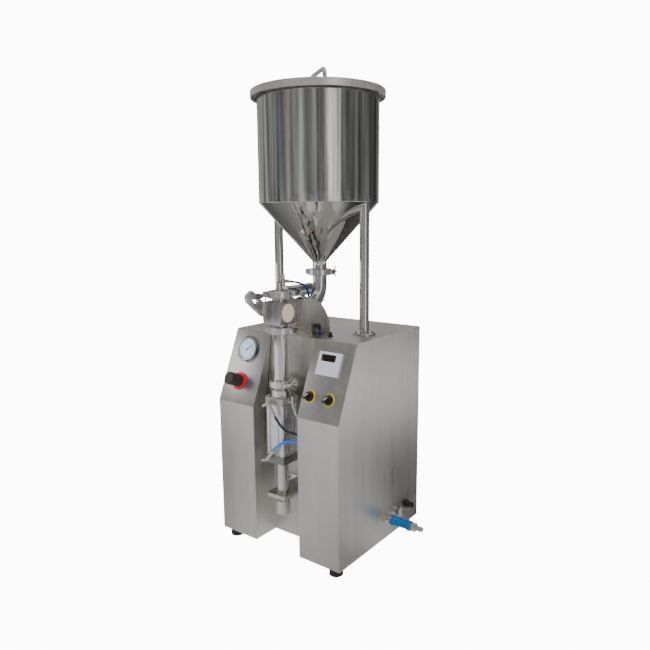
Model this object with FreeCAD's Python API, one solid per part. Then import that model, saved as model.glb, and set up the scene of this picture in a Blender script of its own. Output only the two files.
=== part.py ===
import FreeCAD, Part
import math
import os

# Piston liquid filler: sheet-steel cabinet, hopper on two posts, three-way rotary valve turned by an
# air cylinder, and a vertical metering piston driven by a second air cylinder in the front slot.
# Frame: millimetres, +Z up, front faces -Y, origin on the floor under the middle of the cabinet.

os.makedirs("parts", exist_ok=True)
V = FreeCAD.Vector
LEFT, RIGHT, FRONT, BACK = V(-1, 0, 0), V(1, 0, 0), V(0, -1, 0), V(0, 1, 0)
UP, DOWN = V(0, 0, 1), V(0, 0, -1)

# ---------------------------------------------------------------- driving dimensions
# cabinet
cab_width = 400.0
cab_depth = 385.0
cab_height = 556.0
sheet = 2.0
slot_width = 147.0
slot_depth = 78.0
slope_start = 372.0         # height above the cabinet's bottom where the front leans back
foot_height = 22.0
foot_radius = 18.0
foot_inset = 28.0

# hopper and its posts
hopper_radius = 157.0
hopper_wall = 1.5
spout_height = 28.5         # from the hopper's clamp to the cone
cone_height = 151.5
hopper_height = 277.0       # straight part above the cone
rim_lip = 3.0               # of the rim beyond the hopper's wall
lid_overhang = 16.0
lid_skirt = 17.0
handle_span = 112.0
handle_height = 46.0
handle_rod = 5.5
handle_heading = 145.6      # degrees from +X
post_radius = 12.5
post_wall = 1.5
post_spacing = 286.0
flange_radius = 30.0
flange_thick = 5.0

# sanitary pipe and its clamped joints
pipe_radius = 19.0
pipe_bore = 17.3
ferrule_radius = 25.25
ferrule_rim = 1.6
ferrule_length = 15.0
gasket_thick = 2.0
clamp_radius = 31.0
clamp_width = 17.0
clamp_play = 0.3
clamp_bolt_offset = 35.0
clamp_bolt_radius = 3.0
clamp_hinge_offset = 36.6
clamp_hinge_radius = 5.0
nut_reach = 14.5
elbow_rise = 89.0           # from the valve to the hopper's clamp
elbow_straight = 17.5       # from the bend to the inlet clamp

# valve
valve_rise = 66.0           # of the rotor axis above the cabinet
block_half = 28.0
block_front = 30.0          # from the metering axis to the block's front face
block_back = 50.0
rotor_radius = 23.0
port_radius = 9.0
shaft_radius = 8.0
cover_half = 25.0
cover_plate = 6.0
cover_boss = 8.0
joint_reach = 45.0          # from the rotor axis to the clamps above and below
inlet_reach = 90.0
outlet_length = 29.0
outlet_radius = 8.0

# crank and the air cylinder that turns the valve
crank_x = -58.0
crank_thick = 10.0
crank_half_width = 12.0
crank_hub = 16.0
pin_height = 37.5           # of the drive pin above the rotor axis
pin_radius = 4.0
valve_turn = 90.0
slot_half = 7.5
crank_slot = (36.0, 55.0)
crank_tip = 58.0
fork_depth = 24.0
fork_wall = 4.0
fork_gap = 0.5
fork_half_height = 6.0
actuator_stroke = 75.0
actuator_reach = 76.0       # from the rotor axis to the actuator's front face
actuator_radius = 17.0
actuator_bore = 14.0
actuator_rod_radius = 5.0
front_cap = 24.0
rear_cap = 14.0
piston_thick = 8.0
nose_radius = 8.0
nose_length = 8.0

# neck bracket that carries the valve on the cabinet
neck_half = 36.0
neck_sheet = 2.0
neck_flange = 3.0
neck_outer = 93.0
neck_inner = 35.0

# metering piston and its air cylinder
meter_length = 136.0
meter_bore = 17.05
piston_stroke = 60.0
piston_length = 24.0
piston_drop = 5.0           # of the piston's top below the upper clamp
rod_radius = 6.0
run_clearance = 0.05
gland_radius = 26.5
gland_height = 19.0
cap_size = 60.0
barrel_size = 58.0
gland_drop = 33.0           # from the lower clamp to the air cylinder
air_cylinder_length = 173.0
head_height = 19.0
base_height = 21.0
air_bore = 25.05
air_piston = 20.0
rod_recess = 5.0            # of the rod's end above the cylinder's bottom

# stop tube and volume adjustment
stop_tube_radius = 16.0
stop_tube_wall = 3.0
plate_thick = 10.0
screw_radius = 8.0
screw_travel = 34.0
stop_margin = 2.0           # left between rod and screw at full stroke
screw_margin = 4.0          # left in the plate at the lowest setting
knob_radius = 18.0
knob_height = 38.0
knob_gap = 12.0             # between the stop plate and the knob

# panel instruments: share of the tower's width from the slot, and distance up the slope
gauge_share = 0.5178
gauge_rise = 145.0
gauge_dial_radius = 29.5
regulator_share = 0.5336
regulator_rise = 58.0
regulator_radius = 16.75
counter_share = 0.4783
counter_rise = 140.5
counter_size = (67.0, 59.0)
window_size = (43.0, 17.5)
window_rise = 14.2
selector_shares = (0.1984, 0.6601)
selector_rise = 55.5
selector_radius = 15.3

# connections on the right side: (y, z)
inlet_at = (17.5, 82.0)
silencer_at = (69.5, 84.0)
pedal_port_at = (119.5, 85.0)
sleeve_travel = 6.0

# air hoses: outside radius and the points of each route
hose_radius = 3.0
thin_hose_radius = 2.0
grommet_play = 0.25
black_hose = [(13, -205.6, 387.5), (34, -203, 356), (58, -184, 345), (84, -184, 345)]
blue_hose = [(8, -206.5, 299), (20, -205, 315), (50, -184, 326), (80, -184, 326)]
clear_hose = [(46, -171, 406), (52, -169, 376), (84, -169, 376)]
valve_hose = [(-51, -67, 710), (-35, -46, 707), (-27.5, -22, 694), (-26.5, -13, 664),
              (-26.5, -11, 628), (-26.5, -11, 573)]
neck_hose = [(46, -63, 591), (46, -60, 582), (46, -60, 545)]

# ---------------------------------------------------------------- derived places
floor_z = foot_height
top_z = foot_height + cab_height
front_y = -cab_depth / 2
back_y = cab_depth / 2
side_x = cab_width / 2
slot_x = slot_width / 2
slot_y = front_y + slot_depth
tower_width = side_x - slot_x
rim_radius = hopper_radius + rim_lip
lid_radius = hopper_radius + lid_overhang
slope_z = foot_height + slope_start
slope_rise = top_z - slope_z
slope_length = math.hypot(slot_depth, slope_rise)
slope_up = V(0, slot_depth / slope_length, slope_rise / slope_length)
slope_out = V(0, -slope_rise / slope_length, slot_depth / slope_length)
valve_y = slot_y - block_back       # the metering axis and the rotor axis cross here
valve_z = top_z + valve_rise
inlet_clamp_y = valve_y + inlet_reach
outlet_clamp_z = valve_z + joint_reach
outlet_top = outlet_clamp_z + outlet_length
hopper_clamp_z = valve_z + elbow_rise
elbow_bend = -inlet_clamp_y - elbow_straight
cone_bottom = hopper_clamp_z + spout_height
cone_top = cone_bottom + cone_height
hopper_top = cone_top + hopper_height
actuator_front = valve_y + actuator_reach
upper_clamp_z = valve_z - joint_reach
lower_clamp_z = upper_clamp_z - meter_length
piston_top = upper_clamp_z - piston_drop
head_top = lower_clamp_z - gland_drop
base_bottom = head_top - air_cylinder_length
rod_end = base_bottom + rod_recess
screw_top = rod_end - piston_stroke - stop_margin
plate_bottom = screw_top - screw_travel - screw_margin
plate_top = plate_bottom + plate_thick
knob_top = plate_bottom - knob_gap
gauge_at = (-slot_x - gauge_share * tower_width, gauge_rise)
regulator_at = (-slot_x - regulator_share * tower_width, regulator_rise)
counter_at = (slot_x + counter_share * tower_width, counter_rise)
selectors_at = [(slot_x + share * tower_width, selector_rise) for share in selector_shares]


# ---------------------------------------------------------------- small helpers
def box(x0, x1, y0, y1, z0, z1):
    return Part.makeBox(x1 - x0, y1 - y0, z1 - z0, V(x0, y0, z0))


def rod(radius, start, end):
    span = end - start
    return Part.makeCylinder(radius, span.Length, start, span)


def tube(outer, inner, start, end):
    return rod(outer, start, end).cut(rod(inner, start, end))


def prism(points, direction):
    return Part.Face(Part.makePolygon(points + points[:1])).extrude(direction)


def frame_at(origin, x_axis, z_axis):
    """Placement whose own x and z lie along the two given directions."""
    y_axis = z_axis.cross(x_axis)
    return FreeCAD.Placement(origin, FreeCAD.Rotation(x_axis, y_axis, z_axis, "ZXY"))


def put(shape, place):
    moved = shape.copy()
    moved.Placement = place
    return moved


def turned(profile, origin, axis):
    """Solid of revolution of (radius, distance along the axis) points."""
    points = [V(radius, 0, height) for radius, height in profile]
    solid = Part.Face(Part.makePolygon(points + points[:1])).revolve(V(0, 0, 0), UP, 360)
    side = V(1, 0, 0) if abs(axis.x) < 0.9 else V(0, 1, 0)
    side = (side - axis * side.dot(axis)).normalize()
    return put(solid, frame_at(origin, side, axis))


def hexagon(across, height, origin, axis):
    corner = across / math.sqrt(3)
    points = [V(corner * math.cos(math.radians(a)), corner * math.sin(math.radians(a)), 0)
              for a in range(0, 360, 60)]
    side = V(0, 0, 1) if abs(axis.z) < 0.9 else V(1, 0, 0)
    return put(prism(points, V(0, 0, height)), frame_at(origin, side, axis))


def cap_screw(origin, axis, radius=4.0, height=4.0):
    """Socket cap head standing on a face; its shank stays out of the model."""
    head = turned([(0, 0), (radius, 0), (radius, height - 0.6), (radius - 0.6, height), (0, height)],
                  origin, axis)
    return head.cut(hexagon(radius, height, origin + axis * (height / 2), axis))


def fused(shapes):
    return shapes[0].fuse(shapes[1:]).removeSplitter()


def on_slope(x, rise, out=0.0):
    return V(x, front_y, slope_z) + slope_up * rise + slope_out * out


def slope_frame(x, rise, out=0.0):
    return frame_at(on_slope(x, rise, out), RIGHT, slope_out)


def export(name, shapes):
    shapes = shapes if isinstance(shapes, list) else [shapes]
    solids = [solid for shape in shapes for solid in shape.Solids]
    for solid in solids:
        if not solid.isValid():
            raise ValueError(name + " has an invalid solid")
    shape = solids[0] if len(solids) == 1 else Part.makeCompound(solids)
    shape.exportStep("parts/" + name + ".step")
    print(name, len(solids), "solids")


def hose(name, points, radius):
    """Tube along straight runs joined by arcs as large as the runs allow."""
    corners = [V(*p) for p in points]
    runs = [(b - a).Length for a, b in zip(corners, corners[1:])]
    edges, bends, here = [], [], corners[0]
    for index in range(1, len(corners) - 1):
        before = (corners[index] - corners[index - 1]).normalize()
        after = (corners[index + 1] - corners[index]).normalize()
        half_turn = before.getAngle(after) / 2
        setback = 0.45 * min(runs[index - 1], runs[index])
        bend = setback / math.tan(half_turn)
        bends.append(round(bend, 1))
        start, end = corners[index] - before * setback, corners[index] + after * setback
        inward = (after - before).normalize()
        middle = corners[index] + inward * (bend / math.cos(half_turn) - bend)
        edges += [Part.LineSegment(here, start).toShape(), Part.Arc(start, middle, end).toShape()]
        here = end
    edges.append(Part.LineSegment(here, corners[-1]).toShape())
    path = Part.Wire(edges)
    section = Part.Wire([Part.makeCircle(radius, corners[0], (corners[1] - corners[0]).normalize())])
    solid = path.makePipeShell([section], True, True)
    ideal = math.pi * radius ** 2 * path.Length
    print(name, "bend radii", bends, "length", round(path.Length, 1),
          "volume share", round(solid.Volume / ideal, 4))
    export(name, solid)


# ---------------------------------------------------------------- cabinet
def cabinet():
    inside_x = side_x - sheet
    slot_wall_x = slot_x + sheet
    shelf_z = top_z - sheet
    shelf_y = slot_y - slot_depth / slope_rise * sheet

    outline = [V(0, front_y, floor_z), V(0, front_y, slope_z), V(0, slot_y, top_z),
               V(0, back_y, top_z), V(0, back_y, floor_z)]
    side = prism(outline, V(sheet, 0, 0))
    left = side.copy()
    left.translate(V(-side_x, 0, 0))
    right = side.copy()
    right.translate(V(side_x - sheet, 0, 0))
    for (y, z), radius in ((inlet_at, 7.2), (silencer_at, 8.2), (pedal_port_at, 8.2)):
        right = right.cut(rod(radius, V(inside_x - 1, y, z), V(side_x + 1, y, z)))
    export("left_side_panel", left)
    export("right_side_panel", right)

    pan = box(-inside_x, inside_x, front_y + sheet, back_y - sheet, floor_z, floor_z + sheet)
    pan = pan.cut(box(-slot_wall_x, slot_wall_x, front_y, slot_y + sheet, floor_z - 1, floor_z + sheet + 1))
    export("base_pan", pan)
    export("back_cover", box(-inside_x, inside_x, back_y - sheet, back_y, floor_z, shelf_z))

    top_profile = [V(-inside_x, shelf_y, shelf_z), V(-inside_x, slot_y, top_z),
                   V(-inside_x, back_y, top_z), V(-inside_x, back_y, shelf_z)]
    top = prism(top_profile, V(2 * inside_x, 0, 0))
    top = top.cut(box(-slot_wall_x, slot_wall_x, shelf_y - 1, slot_y, shelf_z - 1, top_z + 1))
    for points in (valve_hose, neck_hose):
        x, y, _ = points[-1]
        top = top.cut(rod(hose_radius + 2.5, V(x, y, shelf_z - 1), V(x, y, top_z + 1)))
    export("top_panel", top)

    lean = math.asin(slot_depth / slope_length)
    inner_slope_z = slope_z - sheet * math.tan(lean / 2)
    inner_end_y = shelf_y + sheet / math.cos(lean)
    panel_profile = [(front_y, floor_z), (front_y, slope_z), (shelf_y, shelf_z),
                     (inner_end_y, shelf_z), (front_y + sheet, inner_slope_z), (front_y + sheet, floor_z)]
    width = inside_x - slot_wall_x
    for name, x in (("left_front_panel", -inside_x), ("right_front_panel", slot_wall_x)):
        panel = prism([V(x, y, z) for y, z in panel_profile], V(width, 0, 0))
        for cutter in panel_cutters():
            panel = panel.cut(cutter)
        export(name, panel)

    wall_profile = [(front_y, floor_z), (front_y, slope_z), (shelf_y, shelf_z),
                    (slot_y + sheet, shelf_z), (slot_y + sheet, floor_z)]
    channel = [prism([V(x, y, z) for y, z in wall_profile], V(sheet, 0, 0))
               for x in (-slot_wall_x, slot_x)]
    channel.append(box(-slot_x, slot_x, slot_y, slot_y + sheet, floor_z, shelf_z))
    channel = fused(channel)
    for points, radius in ((black_hose, hose_radius), (blue_hose, hose_radius),
                           (clear_hose, thin_hose_radius)):
        _, y, z = points[-1]
        channel = channel.cut(rod(radius + 2.5, V(slot_x - 1, y, z), V(slot_wall_x + 1, y, z)))
    export("slot_channel", channel)


def panel_cutters():
    """Holes through both sloping panels for what is mounted there."""
    def through(x, rise, radius):
        return rod(radius, on_slope(x, rise, -4 * sheet), on_slope(x, rise, 4 * sheet))
    cutters = [through(*gauge_at, gauge_dial_radius + 1.0), through(*regulator_at, 18.5)]
    cutters += [through(x, rise, 11.5) for x, rise in selectors_at]
    width, height = counter_size[0] - 6, counter_size[1] - 6
    hole = Part.makeBox(width, height, 8 * sheet, V(-width / 2, -height / 2, -4 * sheet))
    cutters.append(put(hole, slope_frame(*counter_at)))
    return cutters


def feet():
    places = [V(sx * (side_x - foot_inset), sy * (back_y - foot_inset + 2), 0)
              for sx in (-1, 1) for sy in (-1, 1)]
    export("rubber_feet", [rod(foot_radius, place, place + UP * foot_height) for place in places])


def fasteners():
    screws = []
    # back cover screws
    for x in (-1, 0, 1):
        for z in (floor_z + 14, top_z - 16):
            screws.append(cap_screw(V(x * (side_x - 18), back_y, z), BACK, 4.0, 2.4))
    for x in (-1, 1):
        screws.append(cap_screw(V(x * (side_x - 18), back_y, (floor_z + top_z) / 2), BACK, 4.0, 2.4))
    # hopper post flanges
    for sx in (-1, 1):
        for angle in (45, 135, 225, 315):
            spot = V(sx * post_spacing / 2 + 21.5 * math.cos(math.radians(angle)),
                     21.5 * math.sin(math.radians(angle)), top_z + flange_thick)
            screws.append(hexagon(8.0, 4.0, spot, UP))
    # neck flange on the valve block, neck foot, cylinder bracket
    flange_y = valve_y + block_back + neck_flange
    for sx in (-1, 1):
        for sz in (-1, 1):
            screws.append(cap_screw(V(sx * 23, flange_y, valve_z + sz * 22), BACK))
    for sx in (-1, 1):
        screws.append(cap_screw(V(sx * 26, -62, top_z + neck_sheet), UP))
    for z in (valve_z - 24, valve_z - 10):
        screws.append(cap_screw(V(-neck_half - neck_flange, actuator_front + 18, z), LEFT, 3.2, 3.2))
    # air cylinder end caps and the rotor cover
    corner = cap_size / 2 - 8
    for sx in (-1, 1):
        for sy in (-1, 1):
            screws.append(cap_screw(V(sx * corner, valve_y + sy * corner, head_top), UP, 4.0, 4.0))
            screws.append(cap_screw(V(sx * corner, valve_y + sy * corner, base_bottom), DOWN, 4.0, 4.0))
            screws.append(cap_screw(V(-block_half - cover_plate, valve_y + sx * (cover_half - 6),
                                      valve_z + sy * (cover_half - 6)), LEFT, 3.2, 3.2))
    # stop plate tab on the slot's back wall
    for sx in (-1, 1):
        screws.append(cap_screw(V(sx * 22, slot_y - 3, plate_top + 16), FRONT))
    # gauge flange
    for angle in (90, 210, 330):
        spot = on_slope(gauge_at[0] + 35.3 * math.cos(math.radians(angle)),
                        gauge_at[1] + 35.3 * math.sin(math.radians(angle)), 2.0)
        screws.append(turned([(0, 0), (1.8, 0), (1.4, 1.2), (0, 1.2)], spot, slope_out))
    export("fasteners", screws)


# ---------------------------------------------------------------- sanitary joints
def ferrule(face, away, outer, bore, length=ferrule_length):
    """Clamp ferrule whose gasket face is at `face`, running `away` into a pipe of radius outer."""
    neck = outer + 1.6
    profile = [(bore, 0), (ferrule_radius, 0), (ferrule_radius, ferrule_rim),
               (min(neck + 0.4, 21.0), 6.0), (outer, 7.5), (outer, length), (bore, length)]
    return turned(profile, face, away)


def gasket(middle, axis, bore):
    half = axis * (gasket_thick / 2)
    return tube(ferrule_radius - 0.4, bore, middle - half, middle + half)


def clamp(middle, axis, arm):
    """Two hinged half rings with their hinge pin and swing bolt; `arm` points at the bolt."""
    half = clamp_width / 2
    slack = ferrule_radius + clamp_play
    lip = 21.8
    ring = turned([(lip, -half), (clamp_radius - 1.5, -half), (clamp_radius, 1.5 - half),
                   (clamp_radius, half - 1.5), (clamp_radius - 1.5, half), (lip, half),
                   (lip, 6.5), (slack, 2.9), (slack, -2.9), (lip, -6.5)], V(0, 0, 0), UP)
    split, ear_half, ear_end = 1.5, 6.5, clamp_bolt_offset + 6.0
    halves = []
    for sign in (1, -1):
        body = ring.common(box(-50, 50, min(split * sign, 50 * sign), max(split * sign, 50 * sign), -20, 20))
        y0, y1 = sorted((split * sign, 9.0 * sign))
        ear = box(clamp_radius - 2.5, ear_end, y0, y1, -ear_half, ear_half)
        ear = ear.makeFillet(3.0, [edge for edge in ear.Edges
                                   if abs(edge.CenterOfMass.x - ear_end) < 0.01
                                   and abs(abs(edge.CenterOfMass.z) - ear_half) < 0.01])
        hinge = V(-clamp_hinge_offset, 0, 0)
        bands = [(-ear_half, -2.3), (2.3, ear_half)] if sign > 0 else [(-2.0, 2.0)]
        parts = [body, ear]
        for low, high in bands:
            parts.append(rod(clamp_hinge_radius, hinge + V(0, 0, low), hinge + V(0, 0, high)))
            y0, y1 = sorted((split * sign + 0.1 * sign, clamp_hinge_radius * sign))
            parts.append(box(-clamp_hinge_offset, 2.0 - clamp_radius, y0, y1, low, high))
        solid = fused(parts)
        solid = solid.cut(rod(2.55, hinge - V(0, 0, 10), hinge + V(0, 0, 10)))
        solid = solid.cut(rod(clamp_bolt_radius + 0.3, V(clamp_bolt_offset, -20, 0), V(clamp_bolt_offset, 20, 0)))
        halves.append(solid)
    hinge_pin = rod(2.5, V(-clamp_hinge_offset, 0, -7.5), V(-clamp_hinge_offset, 0, 7.5))
    bolt = fused([rod(clamp_bolt_radius, V(clamp_bolt_offset, -13, 0), V(clamp_bolt_offset, 31, 0)),
                  turned([(0, 0), (5, 0), (5, 3.4), (4.2, 4), (0, 4)], V(clamp_bolt_offset, -9.2, 0), FRONT)])
    place = frame_at(middle, arm, axis)
    return [put(piece, place) for piece in halves + [hinge_pin, bolt]]


def wing_nut(middle, axis, arm):
    """Wing nut on the clamp's bolt, its wings flaring away from the ring."""
    start, hub_end = 9.3, 20.0
    bore = clamp_bolt_radius + run_clearance
    hub = turned([(bore, 0), (5, 0), (5, hub_end - start), (bore, hub_end - start)],
                 V(clamp_bolt_offset, start, 0), BACK)
    parts = [hub]
    for sign in (1, -1):
        outline = [(3.5, 12.5), (6.5, 14.5), (12.0, 22.5), (nut_reach, 26.5), (13.2, 29.5), (10.0, 29.0),
                   (6.0, 20.5), (3.5, 19.5)]
        points = [V(clamp_bolt_offset, y, sign * z) for z, y in outline]
        wing = prism(points, V(3.0, 0, 0))
        wing.translate(V(-1.5, 0, 0))
        parts.append(wing)
    nut = fused(parts).cut(rod(bore, V(clamp_bolt_offset, 0, 0), V(clamp_bolt_offset, 40, 0)))
    return put(nut, frame_at(middle, arm, axis))


def heading(axis_a, axis_b, degrees):
    angle = math.radians(degrees)
    return axis_a * math.cos(angle) + axis_b * math.sin(angle)


JOINTS = {
    "hopper": (V(0, 0, hopper_clamp_z), UP, heading(RIGHT, BACK, 15), pipe_bore),
    "inlet": (V(0, inlet_clamp_y, valve_z), FRONT, DOWN, pipe_bore),
    "outlet": (V(0, valve_y, outlet_clamp_z), UP, heading(LEFT, FRONT, 45), port_radius + 0.3),
    "upper": (V(0, valve_y, upper_clamp_z), UP, heading(RIGHT, BACK, 15), pipe_bore),
    "lower": (V(0, valve_y, lower_clamp_z), UP, heading(RIGHT, FRONT, 30), pipe_bore),
}


def clamped_joints():
    for name, (middle, axis, arm, _) in JOINTS.items():
        export(name + "_clamp", clamp(middle, axis, arm))
        export(name + "_wing_nut", wing_nut(middle, axis, arm))
    export("clamp_gaskets", [gasket(middle, axis, bore) for middle, axis, _, bore in JOINTS.values()])


# ---------------------------------------------------------------- hopper
def hopper():
    gasket_half = gasket_thick / 2
    spout_z = hopper_clamp_z + gasket_half
    slope = math.hypot(hopper_radius - pipe_radius, cone_top - cone_bottom)
    shift = hopper_wall * (hopper_radius - pipe_radius) / slope
    inner_radius = hopper_radius - hopper_wall
    outer = [(0, spout_z), (pipe_radius, spout_z), (pipe_radius, cone_bottom), (hopper_radius, cone_top),
             (hopper_radius, hopper_top), (0, hopper_top)]
    inner = [(0, spout_z - 1), (pipe_bore, spout_z - 1), (pipe_bore, cone_bottom + shift),
             (inner_radius, cone_top + shift), (inner_radius, hopper_top + 1), (0, hopper_top + 1)]
    outer_solid = turned(outer, V(0, 0, 0), UP)
    shell = outer_solid.cut(turned(inner, V(0, 0, 0), UP))
    rim = turned([(inner_radius, hopper_top - 6), (rim_radius - 1.2, hopper_top - 6),
                  (rim_radius, hopper_top - 4.8), (rim_radius, hopper_top - 1.2),
                  (rim_radius - 1.2, hopper_top), (inner_radius, hopper_top)], V(0, 0, 0), UP)
    end = ferrule(V(0, 0, spout_z), UP, pipe_radius, pipe_bore)
    export("hopper_shell", fused([shell, rim, end]))

    posts = []
    for sign in (-1, 1):
        foot = V(sign * post_spacing / 2, 0, top_z)
        post = tube(post_radius, post_radius - post_wall, foot, V(foot.x, 0, cone_top))
        plate = turned([(0, 0), (flange_radius, 0), (flange_radius, flange_thick - 1),
                        (flange_radius - 1, flange_thick), (0, flange_thick)], foot, UP)
        posts.append(fused([post, plate]).cut(outer_solid))
    export("hopper_posts", posts)

    lid_top = hopper_top + 0.2
    lid = turned([(0, lid_top), (lid_radius - 1.5, lid_top), (lid_radius - 1.5, lid_top - lid_skirt),
                  (lid_radius, lid_top - lid_skirt), (lid_radius, lid_top), (lid_radius - 1.5, lid_top + 1.5),
                  (0, lid_top + 1.5)], V(0, 0, 0), UP)
    export("hopper_lid", [lid, lid_handle(lid_top + 1.5)])


def lid_handle(base_z):
    """U-shaped rod standing on the lid."""
    bend = 16.0
    half, height = handle_span / 2, handle_height
    low, high = base_z, base_z + height
    turn = math.sin(math.radians(45)) * bend
    path = Part.Wire([
        Part.LineSegment(V(-half, 0, low), V(-half, 0, high - bend)).toShape(),
        Part.Arc(V(-half, 0, high - bend), V(-half + bend - turn, 0, high - bend + turn),
                 V(-half + bend, 0, high)).toShape(),
        Part.LineSegment(V(-half + bend, 0, high), V(half - bend, 0, high)).toShape(),
        Part.Arc(V(half - bend, 0, high), V(half - bend + turn, 0, high - bend + turn),
                 V(half, 0, high - bend)).toShape(),
        Part.LineSegment(V(half, 0, high - bend), V(half, 0, low)).toShape()])
    section = Part.Wire([Part.makeCircle(handle_rod, V(-half, 0, low), UP)])
    handle = path.makePipeShell([section], True, True)
    handle.rotate(V(0, 0, 0), UP, handle_heading)
    return handle


def inlet_elbow():
    start = V(0, 0, valve_z + elbow_bend)
    top = V(0, 0, hopper_clamp_z - gasket_thick / 2)
    centre = V(0, -elbow_bend, valve_z + elbow_bend)
    def swept(radius):
        disc = Part.Face(Part.Wire([Part.makeCircle(radius, start, UP)]))
        return disc.revolve(centre, LEFT, 90)
    bend = swept(pipe_radius).cut(swept(pipe_bore))
    upright = tube(pipe_radius, pipe_bore, start, top)
    level_start = V(0, -elbow_bend, valve_z)
    level_end = V(0, inlet_clamp_y + gasket_thick / 2, valve_z)
    level = tube(pipe_radius, pipe_bore, level_start, level_end)
    ends = [ferrule(top, DOWN, pipe_radius, pipe_bore), ferrule(level_end, BACK, pipe_radius, pipe_bore)]
    export("inlet_elbow", fused([bend, upright, level] + ends))


# ---------------------------------------------------------------- valve
def valve():
    front, back = valve_y - block_front, valve_y + block_back
    low, high = valve_z - block_half, valve_z + block_half
    block = box(-block_half, block_half, front, back, low, high)
    block = block.makeFillet(1.5, block.Edges)
    gasket_half = gasket_thick / 2
    down_face = V(0, valve_y, upper_clamp_z + gasket_half)
    up_face = V(0, valve_y, outlet_clamp_z - gasket_half)
    back_face = V(0, inlet_clamp_y - gasket_half, valve_z)
    body = fused([block,
                  ferrule(down_face, UP, pipe_radius, port_radius, low - down_face.z + 2),
                  ferrule(up_face, DOWN, pipe_radius, port_radius, up_face.z - high + 2),
                  ferrule(back_face, FRONT, pipe_radius, port_radius, back_face.y - back + 2)])
    body = body.cut(rod(port_radius, down_face, up_face))
    body = body.cut(rod(port_radius, V(0, valve_y, valve_z), back_face))
    body = body.cut(rod(rotor_radius + run_clearance, V(-block_half - 1, valve_y, valve_z),
                        V(block_half + 1, valve_y, valve_z)))
    export("valve_body", body)

    centre = V(0, valve_y, valve_z)
    rotor = rod(rotor_radius, centre + LEFT * (block_half - 0.2), centre + RIGHT * block_half)
    rotor = rotor.makeFillet(0.8, [rotor.Edges[0]])
    reach = rotor_radius + 1
    for start, end in ((centre, centre + DOWN * reach), (centre + FRONT * reach, centre + BACK * reach)):
        rotor = rotor.cut(rod(port_radius, start, end))
    shaft = rod(shaft_radius, V(-block_half + 2, valve_y, valve_z), V(crank_x - crank_thick / 2 - 8, valve_y, valve_z))
    export("valve_rotor", fused([rotor, shaft]))

    plate_x = -block_half - cover_plate
    plate = box(plate_x, -block_half, valve_y - cover_half, valve_y + cover_half,
                valve_z - cover_half, valve_z + cover_half)
    plate = plate.makeFillet(6.0, [e for e in plate.Edges if abs(e.CenterOfMass.x - (plate_x - block_half) / 2) < 0.01])
    boss = rod(18.0, V(-block_half - 1, valve_y, valve_z), V(plate_x - cover_boss, valve_y, valve_z))
    cover = fused([plate, boss])
    cover = cover.cut(rod(shaft_radius + run_clearance, V(0, valve_y, valve_z), V(-80, valve_y, valve_z)))
    export("rotor_cover", cover)

    stub_face = V(0, valve_y, outlet_clamp_z + gasket_half)
    stub = fused([ferrule(stub_face, UP, outlet_radius + 2, outlet_radius - 1.5, 12.0),
                  tube(outlet_radius, outlet_radius - 1.5, stub_face, V(0, valve_y, outlet_top))])
    export("outlet_stub", stub)


def crank():
    """Slotted arm on the rotor shaft, leaning half the valve's turn forward at rest."""
    low_x = crank_x - crank_thick / 2
    lean = math.radians(valve_turn / 2)
    along = V(0, -math.sin(lean), math.cos(lean))
    hub = V(low_x, valve_y, valve_z)
    place = frame_at(hub, along, RIGHT)
    arm = Part.makeBox(crank_tip, 2 * crank_half_width, crank_thick, V(0, -crank_half_width, 0))
    slot_length = crank_slot[1] - crank_slot[0]
    slot = Part.makeBox(slot_length, 2 * slot_half, crank_thick, V(crank_slot[0], -slot_half, 0))
    solid = fused([arm, Part.makeCylinder(crank_hub, crank_thick),
                   Part.makeCylinder(crank_half_width, crank_thick, V(crank_tip, 0, 0))])
    ends = [Part.makeCylinder(slot_half, crank_thick, V(r, 0, 0)) for r in crank_slot]
    for cutter in [slot, Part.makeCylinder(shaft_radius + run_clearance, crank_thick)] + ends:
        solid = solid.cut(cutter)
    nut_face = V(low_x, valve_y, valve_z)
    nut = hexagon(20.0, 6.0, nut_face, LEFT)
    nut = nut.cut(rod(shaft_radius + run_clearance, nut_face, nut_face + LEFT * 20))
    export("crank_arm", [put(solid, place), nut])


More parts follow.
